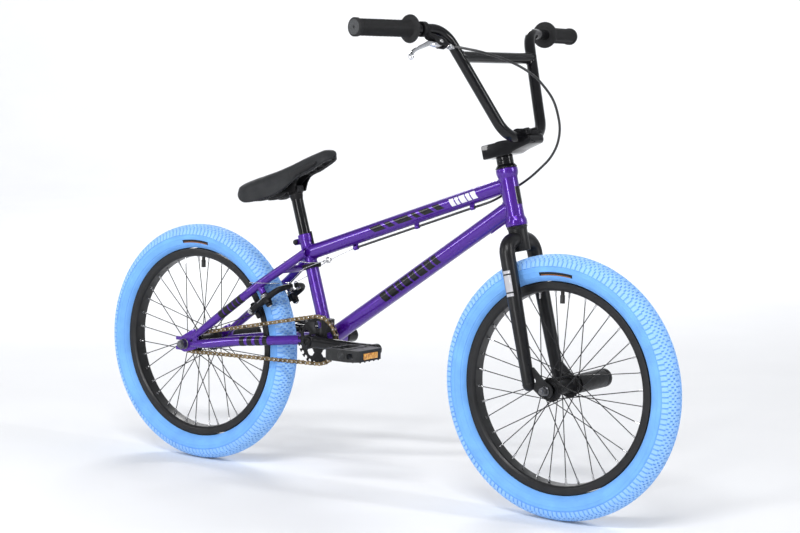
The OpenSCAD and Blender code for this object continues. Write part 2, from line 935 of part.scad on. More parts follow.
module brake_lever() {
    color(steel)
        in_lever()
            difference() {
                union() {
                    translate([0, 0, -3])
                        linear_extrude(height = 6)
                            strap([[0, 0], [12, 2], [28, -2]], 12);
                    translate([0, 0, -5])
                        linear_extrude(height = 10)
                            strap([[26, -2], [40, 4], [54, 9], [68, 14], [81, 21], [93, 34]], 7);
                }
                translate([0, 0, -8])
                    cylinder(h = 16, r = 2.5 + fit);
            }
}

module brake_housing_loop() {
    color(satin_black)
        swept(smooth_route(loop_route, 4), 2.5, 8);
}

module front_axle() {
    color(steel) {
        cross_rod(front_c, -67.5, 76, front_axle_r);
        cross_rod(front_c, -70, -67, front_axle_r - 0.7);
        cross_rod(front_c, -74, -69.5, front_axle_r);
        difference() {
            cross_rod(front_c, -front_old, front_old, 8);
            cross_rod(front_c, -39.9, 39.9, 10);
        }
    }
}

module front_axle_nuts() {
    color(steel) {
        axle_nut(front_c, -67, -56 - gap / 2, 15, front_axle_r);
        axle_nut(front_c, 62 + gap / 2, 72, 15, front_axle_r);
    }
}

module front_peg() {
    peg(front_c, 56 + gap / 2, front_peg_l, front_axle_r);
}

// ---------- wheels ----------

// The tyre's section as radius and Y, shrunk inwards by less
module tyre_section(less) {
    for (side = [-1, 1])
        translate([tyre_c, side * tyre_shift])
            circle(r = tyre_section_r - less, $fn = 96);
    translate([tyre_c - tyre_section_r + less, -tyre_shift])
        square([2 * (tyre_section_r - less), 2 * tyre_shift]);
}

module tyre(c) {
    bead_half = rim_w / 2 - rim_wall - gap;
    color(tyre_blue)
        wheel_ring(c)
            difference() {
                tyre_section(0);
                tyre_section(tyre_wall);
                // Open between the two beads
                translate([rim_r - 15, -bead_half + 4])
                    square([22, 2 * bead_half - 8]);
                // Flat inner faces of the beads, above the rim's bed
                translate([rim_r - 15, -40])
                    square([10, 80]);
                // Room for the rim's flanges
                for (side = [-1, 1])
                    translate([rim_r - 12, side * (bead_half + 20) - 20])
                        square([12 + gap, 40]);
            }
}

module inner_tube(c) {
    color(satin_black) {
        wheel_ring(c)
            difference() {
                tyre_section(tyre_wall + 0.4);
                tyre_section(tyre_wall + 1.6);
            }
        translate(c) {
            translate([0, 0, rim_bed_r - 16])
                cylinder(h = 36, d = valve_d);
            translate([0, 0, rim_bed_r - 25])
                cylinder(h = 16, r = 4.9);
        }
    }
}

module rim(c) {
    half = rim_w / 2;
    color(satin_black)
        difference() {
            wheel_ring(c)
                difference() {
                    polygon([
                        [rim_bed_r, -half + 4], [rim_bed_r + 5, -half], [rim_r, -half],
                        [rim_r, half], [rim_bed_r + 5, half], [rim_bed_r, half - 4]
                    ]);
                    translate([rim_r - 7, -half + rim_wall])
                        square([8, rim_w - 2 * rim_wall]);
                    translate([rim_bed_r + rim_wall, -half + 5])
                        square([rim_r - rim_bed_r - 7 - 2 * rim_wall, rim_w - 10]);
                }
            translate(c)
                cylinder(h = tyre_r, d = valve_d + 0.4);
        }
}

// One spoke with its nipple. Spokes leave the flange nearly along its edge and cross three others.
module spoke(c, flange_y, face, hole_angle, lead) {
    rim_angle = hole_angle + lead * 60;
    start_y = flange_y + lead * 2.2;
    end_y = face * 3 + lead * 1.8;
    start_r = flange_r + spoke_d / 2 + gap;
    a = c + [start_r * cos(hole_angle), start_y, start_r * sin(hole_angle)];
    b = c + [(rim_bed_r - 1) * cos(rim_angle), end_y, (rim_bed_r - 1) * sin(rim_angle)];
    d = unit(b - a);
    color(satin_black)
        rod(a, b - d * 11, spoke_d / 2, spoke_d / 2);
    color(steel)
        rod(b - d * 11.9, b, nipple_d / 2, nipple_d / 2);
}

module spoke_set(c, left_y, right_y) {
    per_flange = spokes / 2;
    for (i = [0:per_flange - 1]) {
        lead = i % 2 == 0 ? 1 : -1;
        // The offset keeps a spoke clear of the valve
        turn = i * 360 / per_flange + 95;
        spoke(c, left_y, 1, turn, lead);
        spoke(c, right_y, -1, turn + 180 / per_flange, lead);
    }
}

module flange_holes(c, y) {
    for (i = [0:spokes / 2 - 1])
        translate([c[0], y, c[2]])
            rotate([0, i * 720 / spokes + 5, 0])
                translate([spoke_ring_r, 0, 0])
                    rotate([90, 0, 0])
                        cylinder(h = flange_t + 2, r = 1.3, center = true, $fn = 16);
}

module hub_bearing(c, y1, y2, axle_r) {
    difference() {
        cross_rod(c, y1, y2, bearing_r - gap);
        cross_rod(c, y1 - cut, y2 + cut, axle_r + fit);
    }
}

module front_hub() {
    y = front_flange_y;
    color(satin_black)
        difference() {
            union() {
                cross_rod(front_c, -39.4, 39.4, 14);
                for (side = [-1, 1])
                    cross_rod(front_c, side * y - flange_t / 2, side * y + flange_t / 2, flange_r);
            }
            cross_rod(front_c, -50, 50, bearing_r);
            flange_holes(front_c, y);
            flange_holes(front_c, -y);
        }
    color(steel)
        for (side = [-1, 1])
            hub_bearing(front_c, side * 34.5 - 4, side * 34.5 + 4, front_axle_r);
}

module rear_hub() {
    left = rear_flange_left_y;
    right = rear_flange_right_y;
    color(satin_black)
        difference() {
            union() {
                cross_rod(rear_c, -29.4, 43.8, 15.5);
                cross_rod(rear_c, left - flange_t / 2, left + flange_t / 2, flange_r);
                cross_rod(rear_c, right - flange_t / 2, right + flange_t / 2, flange_r);
            }
            cross_rod(rear_c, -60, 60, bearing_r);
            cross_rod(rear_c, -60, -14, 13);
            flange_holes(rear_c, left);
            flange_holes(rear_c, right);
        }
    color(steel) {
        hub_bearing(rear_c, 34, 43, rear_axle_r);
        hub_bearing(rear_c, -13, -5, rear_axle_r);
    }
}

module toothed_wheel(teeth, pitch_r) {
    difference() {
        circle(r = pitch_r + 3.4, $fn = 96);
        for (i = [0:teeth - 1])
            rotate(i * 360 / teeth)
                translate([pitch_r, 0])
                    circle(r = roller_r + 0.35, $fn = 24);
    }
}

module rear_driver() {
    color(steel)
        difference() {
            union() {
                cross_rod(rear_c, -50, -30, 13.6);
                cross_rod(rear_c, -30, -15, 12.6);
                side_plate(rear_c, -chainline - 1.5, -chainline + 1.5)
                    toothed_wheel(driver_teeth, driver_r);
            }
            cross_rod(rear_c, -60, 0, rear_axle_r + fit);
        }
}

// ---------- crank and pedals ----------

module crank_spindle() {
    color(steel)
        difference() {
            cross_rod(bracket_c, -78, 78, 9.5);
            cross_rod(bracket_c, -79, 79, 6);
        }
}

module crank_arm(side) {
    inner = side * 62;
    outer = side * 79;
    end_x = -side * crank_l;
    lo = min(inner, outer);
    hi = max(inner, outer);
    color(satin_black)
        difference() {
            union() {
                cross_rod(bracket_c, min(side * 47, outer), max(side * 47, outer), 15.5);
                side_plate(bracket_c, lo, hi) {
                    circle(r = 15.5);
                    translate([end_x, 0])
                        circle(r = 12.5);
                    polygon([
                        [0, -13], [end_x, -10.5], [end_x, 10.5], [0, 13]
                    ]);
                }
            }
            cross_rod(bracket_c, -90, 90, 9.5 + gap / 2);
            cross_rod(bracket_c + [end_x, 0, 0], -95, 95, 6.6);
        }
    // End bolt of the spindle
    color(steel)
        cross_rod(bracket_c, min(side * 79.1, side * 83), max(side * 79.1, side * 83), 11);
}

module sprocket() {
    color(satin_black)
        side_plate(bracket_c, -chainline - 1.5, -chainline + 1.5)
            difference() {
                toothed_wheel(sprocket_teeth, sprocket_r);
                circle(r = 9.5 + gap / 2);
                for (i = [0:4])
                    rotate(72 * i + 18) {
                        translate([33, 0])
                            circle(r = 8.5);
                        translate([27, -9])
                            square([11, 18]);
                    }
            }
}

module pedal_axles() {
    color(steel)
        for (side = [-1, 1]) {
            c = bracket_c + [-side * crank_l, 0, 0];
            cross_rod(c, min(side * 62, side * 88), max(side * 62, side * 88), 6.5);
            cross_rod(c, min(side * 80, side * 103), max(side * 80, side * 103), 8.5);
            cross_rod(c, min(side * 84, side * 178), max(side * 84, side * 178), 6.5);
        }
}

// A plastic platform pedal: end bars, four ribs and a barrel around the axle
module pedal(side) {
    c = bracket_c + [-side * crank_l, 0, 0];
    t = 25;
    y1 = side > 0 ? 104 : -104 - pedal_w;
    y2 = y1 + pedal_w;
    color(satin_black)
        difference() {
            union() {
                side_plate(c, y1, y2) {
                    for (x = [-1, 1])
                        translate([x * (pedal_l / 2 - 4), 0])
                            strap([[0, -t / 2 + 4], [0, t / 2 - 4]], 8);
                    circle(r = 12.5);
                }
                for (y = [y1, y1 + pedal_w / 2 - 3, y2 - 6])
                    side_plate(c, y, y + 6)
                        strap([[-pedal_l / 2 + 9, 0], [pedal_l / 2 - 9, 0]], 17);
            }
            cross_rod(c, side > 0 ? y1 - cut : y1 + 5, side > 0 ? y2 - 5 : y2 + cut, 6.5 + fit);
        }
    color("orange")
        for (x = [-1, 1])
            translate([c[0] + x * (pedal_l / 2 + 1.5), (y1 + y2) / 2, c[2]])
                cube([2.8, 46, 12], center = true);
}

// ---------- rear brake ----------

// Drawn in the plane of the two pivots: X along the seatstay and Y across the bike
module in_brake(k) {
    in_frame(brake_point(0, 0, k), stay_dir, [0, 1, 0], -stay_down)
        children();
}

module brake_arm(side) {
    color(satin_black)
        difference() {
            union() {
                in_brake(arm_k + 5)
                    linear_extrude(height = 10) {
                        strap([[pad_s + 2, side * 44], [250, side * 45], [274, side * 45]], 13);
                        strap([[274, side * 45], [291, side * 36], [anchor_s, side * anchor_y]], 12);
                        translate([250, side * 45])
                            circle(r = 10);
                    }
                in_brake(arm_k + 12)
                    translate([250, side * 45, 0])
                        cylinder(h = 24, r = 8.5);
            }
            in_brake(60)
                translate([250, side * 45, 0])
                    cylinder(h = 60, r = 4 + fit);
        }
    // Pad, its stud and the cable anchor
    pad = brake_point(pad_s, side * 26.6, arm_k);
    color(steel) {
        rod(brake_point(pad_s, side * 52, arm_k), brake_point(pad_s, side * 50.6, arm_k), 6, 6);
        rod(brake_point(anchor_s, side * anchor_y, arm_k - 9), brake_point(anchor_s, side * anchor_y, arm_k - 5), 5, 5);
    }
    color(satin_black)
        in_frame(pad, stay_dir, [0, 1, 0], -stay_down)
            translate([-5.5, -6, -19])
                cube([11, 12, 38]);
    color(steel)
        rod(brake_point(pad_s, side * 37.4, arm_k), brake_point(pad_s, side * 32.7, arm_k), 4, 4);
}

// ---------- seat ----------

module seat_post() {
    color(satin_black) {
        difference() {
            union() {
                rod(seat_top - seat_dir * 95, post_top, post_d / 2, post_d / 2);
                cross_rod(seat_pivot, -12.5, 12.5, 15.5);
            }
            rod(seat_top - seat_dir * 96, post_top - seat_dir * 12, post_d / 2 - 2.5, post_d / 2 - 2.5);
            translate([seat_pivot[0] - 30, -20, seat_pivot[2] + 8])
                rotate([0, -20, 0])
                    cube([60, 40, 30]);
        }
    }
}

// A lofted body of the seat. inset shrinks its sides, drop lowers its top, and deep lowers its foot.
module seat_loft(u1, u2, inset, drop, deep, thin) {
    rings = 22;
    arc = 14;
    points = [for (i = [0:rings], j = [0:arc])
        let (
            u = u1 + (u2 - u1) * (0.5 - 0.5 * cos(180 * i / rings)),
            a = 180 * j / arc,
            w = max(2, seat_w(u) - inset),
            top = seat_top_z(u) - drop,
            foot = seat_top_z(u) - seat_skirt(u) - deep,
            rise = max(thin, top - foot)
        )
        [seat_x(u), w * sign(cos(a)) * pow(abs(cos(a)), 0.7), foot + rise * pow(sin(a), 0.55)]];
    row = arc + 1;
    walls = [for (i = [0:rings - 1], j = [0:arc - 1])
        [i * row + j, (i + 1) * row + j, (i + 1) * row + j + 1, i * row + j + 1]];
    floor_faces = [for (i = [0:rings - 1]) [i * row + arc, (i + 1) * row + arc, (i + 1) * row, i * row]];
    tail = [[for (j = [0:arc]) j]];
    nose = [[for (j = [arc:-1:0]) rings * row + j]];
    polyhedron(points = points, faces = concat(tail, walls, floor_faces, nose), convexity = 6);
}

module seat_cover() {
    color(charcoal)
        difference() {
            seat_loft(0, 1, 0, 0, 0, 2);
            seat_loft(0.05, 0.97, 7, 18, 0.6, 4);
        }
}

module seat_shell() {
    color(satin_black)
        difference() {
            union() {
                seat_loft(0.055, 0.965, 8.5, 19.5, 0.3, 2.5);
                translate([seat_pivot[0], 0, seat_pivot[2] + 10])
                    rotate([0, -20, 0])
                        translate([-30, -13, -12])
                            cube([48, 26, 24]);
            }
            translate([seat_pivot[0], 0, seat_pivot[2]])
                rotate([90, 0, 0])
                    cylinder(h = 26, r = 15.8, center = true);
            rod(seat_top, post_top, post_d / 2 + 3, post_d / 2 + 3);
        }
}

head_tube();
top_tube();
down_tube();
seat_tube();
bottom_bracket_shell();
chainstay(-1);  // chainstay_right
chainstay(1);  // chainstay_left
seatstay(-1);  // seatstay_right
seatstay(1);  // seatstay_left
rear_dropouts();
frame_gussets();
cable_fittings();
brake_bosses();
frame_bearings();
seat_clamp_bolt();
rear_brake_housing();
rear_axle();
rear_axle_nuts();
rear_peg();
chain();
straddle_cable();
fork_steerer();
fork_leg(-1);  // fork_leg_right
fork_leg(1);  // fork_leg_left
fork_dropouts();
stem_body();
stem_cap();
stem_bolts();
headset_spacer();
handlebar();
grips();
lever_bracket();
brake_housing_loop();
front_axle();
front_axle_nuts();
front_peg();
brake_lever();
tyre(front_c);  // front_tyre
inner_tube(front_c);  // front_inner_tube
rim(front_c);  // front_rim
spoke_set(front_c, front_flange_y, -front_flange_y);  // front_spokes
front_hub();
tyre(rear_c);  // rear_tyre
inner_tube(rear_c);  // rear_inner_tube
rim(rear_c);  // rear_rim
spoke_set(rear_c, rear_flange_left_y, rear_flange_right_y);  // rear_spokes
rear_hub();
rear_driver();
crank_spindle();
crank_arm(-1);  // crank_arm_right
crank_arm(1);  // crank_arm_left
sprocket();
pedal_axles();
pedal(-1);  // pedal_right
pedal(1);  // pedal_left
brake_arm(-1);  // brake_arm_right
brake_arm(1);  // brake_arm_left
seat_post();
seat_shell();
seat_cover();
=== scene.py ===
"""The looks of a BMX bike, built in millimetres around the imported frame."""

import json
import math

import bmesh
import bpy
from mathutils import Matrix, Vector, noise


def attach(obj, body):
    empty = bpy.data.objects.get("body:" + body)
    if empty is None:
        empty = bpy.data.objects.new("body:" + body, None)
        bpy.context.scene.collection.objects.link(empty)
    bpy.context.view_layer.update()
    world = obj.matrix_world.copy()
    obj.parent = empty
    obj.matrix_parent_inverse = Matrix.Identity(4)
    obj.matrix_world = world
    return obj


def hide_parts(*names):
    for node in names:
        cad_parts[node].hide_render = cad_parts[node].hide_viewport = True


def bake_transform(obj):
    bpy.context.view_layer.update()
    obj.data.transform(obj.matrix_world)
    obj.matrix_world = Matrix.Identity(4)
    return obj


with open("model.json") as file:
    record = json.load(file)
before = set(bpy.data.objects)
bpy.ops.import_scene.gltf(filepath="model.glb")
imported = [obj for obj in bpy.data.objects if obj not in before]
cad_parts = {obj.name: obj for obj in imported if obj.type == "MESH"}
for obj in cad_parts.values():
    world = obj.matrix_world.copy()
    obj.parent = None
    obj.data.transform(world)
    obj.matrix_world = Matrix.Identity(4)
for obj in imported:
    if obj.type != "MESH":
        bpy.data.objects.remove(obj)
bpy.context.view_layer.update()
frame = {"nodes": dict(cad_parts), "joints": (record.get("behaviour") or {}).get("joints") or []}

MM = 0.001
JOINTS = {joint["name"]: joint for joint in frame["joints"]}
Y = Vector((0, 1, 0))
SIDES = {"right": -1, "left": 1}


def joint_at(name):
    return Vector(JOINTS[name]["pos_m"]) / MM


def joint_axis(name):
    return Vector(JOINTS[name]["axis"]).normalized()


FRONT = joint_at("front_spin")
REAR = joint_at("rear_spin")
BRACKET = joint_at("crank_spin")
HEAD = joint_at("steer")
HEAD_UP = joint_axis("steer")
HEAD_FWD = Y.cross(HEAD_UP)
SEAT_UP = joint_axis("post_slide")
SEAT_PIVOT = joint_at("seat_tilt")
STAY_DOWN = joint_axis("brake_right_turn")
STAY = STAY_DOWN.cross(Y)

HEAD_TUBE_L = 117
STEM_H = 155
SEAT_TOP = Vector((-179.8, 0, 523.7))
TOP_TUBE = (Vector((-168, 0, 484)), Vector((338, 0, 658)), 15.9)
DOWN_TUBE = (BRACKET, Vector((352, 0, 615)), 17.45)
SEAT_TUBE = (SEAT_TOP - SEAT_UP * 228, SEAT_TOP, 14.3)
HEAD_TUBE = (HEAD, HEAD + HEAD_UP * HEAD_TUBE_L, 18.75)
SHELL = (BRACKET - Y * 34, BRACKET + Y * 34, 22)
STEERER_LOW = (HEAD - HEAD_UP * 50, HEAD, 19)
CHAINLINE = 42
CRANK_L = 173


def on_head(h, forward=0, y=0):
    return HEAD + HEAD_UP * h + HEAD_FWD * forward + Y * y


def brake_point(s, y, k):
    return REAR + STAY * s + STAY_DOWN * k + Y * y


def flip(p, side):
    return Vector((p[0], p[1] * side, p[2]))


# ---------- shapes, as lists of points in millimetres and faces ----------


def join(*shapes):
    points = []
    faces = []
    for shape_points, shape_faces in shapes:
        start = len(points)
        points += shape_points
        faces += [tuple(i + start for i in face) for face in shape_faces]
    return points, faces


def square_to(v):
    side = v.cross(Vector((0.31, 0.17, 0.93)))
    return side.normalized()


def smooth_path(points, steps=6, closed=False):
    """A curve through the points that leaves each one in its neighbours' direction."""
    points = [Vector(p) for p in points]
    n = len(points)

    def at(i):
        return points[i % n] if closed else points[min(max(i, 0), n - 1)]

    out = []
    for i in range(n if closed else n - 1):
        a, b, c, d = at(i - 1), at(i), at(i + 1), at(i + 2)
        for j in range(steps):
            t = j / steps
            out.append(
                0.5 * (2 * b + (c - a) * t + (2 * a - 5 * b + 4 * c - d) * t * t
                       + (3 * b - a - 3 * c + d) * t ** 3)
            )
    if not closed:
        out.append(points[-1])
    return out


def bend(a, b, c, radius, steps=10):
    """Points of a round bend at b, on the way from a to c."""
    a, b, c = Vector(a), Vector(b), Vector(c)
    back = (a - b).normalized()
    ahead = (c - b).normalized()
    turn = math.pi - back.angle(ahead)
    reach = radius * math.tan(turn / 2)
    centre = b + (back + ahead).normalized() * radius / math.cos(turn / 2)
    x = (b + back * reach - centre).normalized()
    return [
        centre + radius * (x * math.cos(turn * i / steps) - back * math.sin(turn * i / steps))
        for i in range(steps + 1)
    ]


def on_surface(point, direction, target, arriving):
    """Where a line meets the round tube target: on its near side when arriving, or else on its far side."""
    start, end, radius = target
    e = (end - start).normalized()
    q = point - start
    q = q - e * q.dot(e)
    d = direction - e * direction.dot(e)
    a = d.dot(d)
    b = q.dot(d)
    c = q.dot(q) - radius * radius
    root = math.sqrt(max(b * b - a * c, 0))
    return point + direction * ((-b - root if arriving else -b + root) / a)


def frames_along(path, closed=False):
    n = len(path)
    tangents = []
    for i in range(n):
        before = path[(i - 1) % n] if closed else path[max(i - 1, 0)]
        after = path[(i + 1) % n] if closed else path[min(i + 1, n - 1)]
        tangents.append((after - before).normalized())
    x = square_to(tangents[0])
    frames = []
    for t in tangents:
        x = (x - t * x.dot(t)).normalized()
        frames.append((x, t.cross(x)))
    return frames


def tube(path, radius, sides=28, closed=False, start_on=None, end_on=None, up=None, flat=1.0):
    """A tube along a path. Its ends can lie on other tubes. flat scales its size along up."""
    path = [Vector(p) for p in path]
    n = len(path)
    radii = radius if isinstance(radius, (list, tuple)) else [radius] * n
    points = []
    for i, (x, y) in enumerate(frames_along(path, closed)):
        if up is not None:
            along = x.cross(y)
            y = along.cross(Vector(up)).normalized()
            x = y.cross(along)
        for j in range(sides):
            a = 2 * math.pi * j / sides
            points.append(path[i] + radii[i] * (x * math.cos(a) * flat + y * math.sin(a)))
    if start_on:
        d = (path[1] - path[0]).normalized()
        for j in range(sides):
            points[j] = on_surface(points[j], d, start_on, False)
    if end_on:
        d = (path[-1] - path[-2]).normalized()
        for j in range(sides):
            k = (n - 1) * sides + j
            points[k] = on_surface(points[k], d, end_on, True)
    faces = []
    for i in range(n if closed else n - 1):
        for j in range(sides):
            a, b = i * sides, (i + 1) % n * sides
            k = (j + 1) % sides
            faces.append((a + j, b + j, b + k, a + k))
    if not closed:
        faces.append(tuple(range(sides))[::-1])
        faces.append(tuple(range((n - 1) * sides, n * sides)))
    return points, faces


def domed(path, radius, sides=28, steps=5, both=True, **extra):
    """A tube with rounded ends."""
    path = [Vector(p) for p in path]
    radii = list(radius) if isinstance(radius, (list, tuple)) else [radius] * len(path)

    def cap(end, direction, r):
        rise = [math.sin(math.pi / 2 * k / steps) for k in range(1, steps + 1)]
        return (
            [end + direction * r * s for s in rise], [r * max(math.sqrt(1 - s * s), 0.02) for s in rise],
        )

    tail, tail_r = cap(path[-1], (path[-1] - path[-2]).normalized(), radii[-1])
    head, head_r = cap(path[0], (path[0] - path[1]).normalized(), radii[0])
    if not both:
        return tube(path + tail, radii + tail_r, sides, **extra)
    return tube(head[::-1] + path + tail, head_r[::-1] + radii + tail_r, sides, **extra)


def rounded(outline, radius, closed=True, steps=4):
    """A flat outline with its corners rounded."""
    n = len(outline)
    out = []
    for i, corner in enumerate(outline):
        b = Vector(corner)
        if not closed and i in (0, n - 1):
            out.append(b)
            continue
        to_a = Vector(outline[i - 1]) - b
        to_c = Vector(outline[(i + 1) % n]) - b
        cut = min(radius, 0.45 * to_a.length, 0.45 * to_c.length)
        a = b + to_a.normalized() * cut
        c = b + to_c.normalized() * cut
        for k in range(steps + 1):
            t = k / steps
            out.append(a * (1 - t) ** 2 + b * 2 * t * (1 - t) + c * t * t)
    return out


def turned(centre, axis, profile, round_by=0.5, ring=False, steps=72):
    """A turned shape: profile is a list of (radius, height along the axis). A ring's profile is closed."""
    axis = Vector(axis).normalized()
    x = square_to(axis)
    y = axis.cross(x)
    outline = rounded(profile, round_by, closed=ring, steps=3) if round_by else [Vector(p) for p in profile]
    m = len(outline)
    points = []
    for p in outline:
        for j in range(steps):
            a = 2 * math.pi * j / steps
            points.append(centre + axis * p[1] + max(p[0], 0.02) * (x * math.cos(a) + y * math.sin(a)))
    faces = []
    for i in range(m if ring else m - 1):
        for j in range(steps):
            a, b = i * steps, (i + 1) % m * steps
            k = (j + 1) % steps
            faces.append((a + j, b + j, b + k, a + k))
    if not ring:
        faces.append(tuple(range(steps))[::-1])
        faces.append(tuple(range((m - 1) * steps, m * steps)))
    return points, faces


def open_turned(profile, steps):
    """A surface turned about the upright axis, open at its end."""
    points = []
    for r, h in profile:
        points += [
            Vector(
                (r * math.cos(2 * math.pi * j / steps), r * math.sin(2 * math.pi * j / steps), h)
            ) for j in range(steps)
        ]
    faces = [
        (i * steps + j, i * steps + (j + 1) % steps, (i + 1) * steps + (j + 1) % steps, (i + 1) * steps + j)
        for i in range(len(profile) - 1) for j in range(steps)
    ]
    return points, faces


def extruded(centre, x, y, outline, low, high):
    """A flat outline in the plane of x and y, made solid between two heights along their cross product."""
    x, y = Vector(x), Vector(y)
    z = x.cross(y)
    n = len(outline)
    points = [centre + x * p[0] + y * p[1] + z * h for h in (low, high) for p in outline]
    faces = [tuple(range(n))[::-1], tuple(range(n, 2 * n))]
    faces += [(i, (i + 1) % n, (i + 1) % n + n, i + n) for i in range(n)]
    return points, faces


def block(centre, x, y, size, round_by=0.0):
    """A block with rounded corners in plan, centred on a point."""
    w, d, h = size[0] / 2, size[1] / 2, size[2] / 2
    outline = [(-w, -d), (w, -d), (w, d), (-w, d)]
    outline = rounded(outline, round_by) if round_by else outline
    return extruded(Vector(centre), x, y, outline, -h, h)


def arc(radius, start, end, steps, centre=(0, 0)):
    angles = [math.radians(start + (end - start) * i / steps) for i in range(steps + 1)]
    return [(centre[0] + radius * math.cos(a), centre[1] + radius * math.sin(a)) for a in angles]


def hexagon(across):
    return [
        (
            across / math.sqrt(3) * math.cos(math.radians(60 * i)),
            across / math.sqrt(3) * math.sin(math.radians(60 * i)),
        )
        for i in range(6)
    ]


def threaded(centre, axis, low, high, radius, pitch=1.0, steps=32):
    """A bar with a real helical thread."""
    axis = Vector(axis).normalized()
    x = square_to(axis)
    y = axis.cross(x)
    rows = max(int((high - low) / pitch * 4), 4)
    points = []
    for i in range(rows + 1):
        h = low + (high - low) * i / rows
        taper = 0.7 * max(0, 1 - (high - h) / 1.2)
        for j in range(steps):
            phase = (h / pitch - j / steps) % 1
            r = radius - 0.55 * pitch * abs(2 * phase - 1) * 0.6 - taper
            a = 2 * math.pi * j / steps
            points.append(centre + axis * h + r * (x * math.cos(a) + y * math.sin(a)))
    faces = [
        (i * steps + j, (i + 1) * steps + j, (i + 1) * steps + (j + 1) % steps, i * steps + (j + 1) % steps)
        for i in range(rows) for j in range(steps)
    ]
    faces += [tuple(range(steps))[::-1], tuple(range(rows * steps, (rows + 1) * steps))]
    return points, faces


def weld(start, direction, radius, target, arriving=True, bead=2.0, scales=46):
    """A row of weld ripples around the place where a tube meets another."""
    direction = direction.normalized()
    x = square_to(direction)
    y = direction.cross(x)
    steps = scales * 3
    path = []
    for i in range(steps):
        a = 2 * math.pi * i / steps
        path.append(
            on_surface(
                start + (radius + 0.2) * (x * math.cos(a) + y * math.sin(a)), direction, target, arriving,
            )
        )
    radii = [bead * (0.82 + 0.18 * abs(math.sin(math.pi * i / 3 + 0.3))) for i in range(steps)]
    return tube(path, radii, 8, closed=True)


# ---------- materials ----------


def link_noise(nodes, links, coords, scale, detail=3.0, stretch=None):
    """A noise texture in object space, in waves of roughly 1/scale metres."""
    texture = nodes.new("ShaderNodeTexNoise")
    texture.inputs["Scale"].default_value = scale
    texture.inputs["Detail"].default_value = detail
    source = coords.outputs["Object"]
    if stretch:
        mapping = nodes.new("ShaderNodeMapping")
        mapping.inputs["Scale"].default_value = stretch
        links.new(source, mapping.inputs["Vector"])
        source = mapping.outputs["Vector"]
    links.new(source, texture.inputs["Vector"])
    return texture.outputs["Fac"]


def map_range(nodes, links, value, low, high):
    node = nodes.new("ShaderNodeMapRange")
    node.inputs["From Min"].default_value = 0.3
    node.inputs["From Max"].default_value = 0.7
    node.inputs["To Min"].default_value = low
    node.inputs["To Max"].default_value = high
    links.new(value, node.inputs["Value"])
    return node.outputs["Result"]


def finish_of(name, colour, rough, metal=0.0, coat=0.0, coat_rough=0.03, vary=0.12, vary_scale=30.0,
              grain=0.0, grain_scale=900.0, cells=0.0, cell_scale=1500.0, wear=None, sheen=0.0,
              specular=0.5, stretch=None, second=None, aniso=0.0):
    """A layered surface: mottled colour, uneven gloss, fine grain or cells, and lighter worn edges."""
    material = bpy.data.materials.new(name)
    material.use_nodes = True
    nodes = material.node_tree.nodes
    links = material.node_tree.links
    shader = nodes["Principled BSDF"]
    shader.inputs["Metallic"].default_value = metal
    shader.inputs["Coat Weight"].default_value = coat
    shader.inputs["Coat Roughness"].default_value = coat_rough
    shader.inputs["Sheen Weight"].default_value = sheen
    shader.inputs["Specular IOR Level"].default_value = specular
    shader.inputs["Anisotropic"].default_value = aniso
    coords = nodes.new("ShaderNodeTexCoord")
    mottle = link_noise(nodes, links, coords, vary_scale, 4.0, stretch)
    ramp = nodes.new("ShaderNodeValToRGB")
    ramp.color_ramp.elements[0].position = 0.32
    ramp.color_ramp.elements[1].position = 0.68
    dark = [c * (1 - vary) for c in colour]
    light = [min(c * (1 + vary) + 0.002, 1) for c in (second or colour)]
    ramp.color_ramp.elements[0].color = (*dark, 1)
    ramp.color_ramp.elements[1].color = (*light, 1)
    links.new(mottle, ramp.inputs["Fac"])
    colour_out = ramp.outputs["Color"]
    if wear:
        geometry = nodes.new("ShaderNodeNewGeometry")
        edge = nodes.new("ShaderNodeMapRange")
        edge.inputs["From Min"].default_value = 0.53
        edge.inputs["From Max"].default_value = 0.62
        edge.inputs["To Max"].default_value = 0.55
        links.new(geometry.outputs["Pointiness"], edge.inputs["Value"])
        mix = nodes.new("ShaderNodeMix")
        mix.data_type = "RGBA"
        mix.inputs["B"].default_value = (*wear, 1)
        links.new(edge.outputs["Result"], mix.inputs["Factor"])
        links.new(colour_out, mix.inputs["A"])
        colour_out = mix.outputs["Result"]
    links.new(colour_out, shader.inputs["Base Color"])
    smudge = link_noise(nodes, links, coords, vary_scale * 2.3, 5.0, stretch)
    links.new(
        map_range(nodes, links, smudge, rough * 0.8, min(rough * 1.25, 1)), shader.inputs["Roughness"],
    )
    height = None
    if cells:
        cell = nodes.new("ShaderNodeTexVoronoi")
        cell.inputs["Scale"].default_value = cell_scale
        links.new(coords.outputs["Object"], cell.inputs["Vector"])
        height = (cell.outputs["Distance"], cells)
    elif grain:
        height = (link_noise(nodes, links, coords, grain_scale, 2.0, stretch), grain)
    if height:
        bump = nodes.new("ShaderNodeBump")
        bump.inputs["Strength"].default_value = height[1]
        bump.inputs["Distance"].default_value = 0.0004
        links.new(height[0], bump.inputs["Height"])
        links.new(bump.outputs["Normal"], shader.inputs["Normal"])
    return material


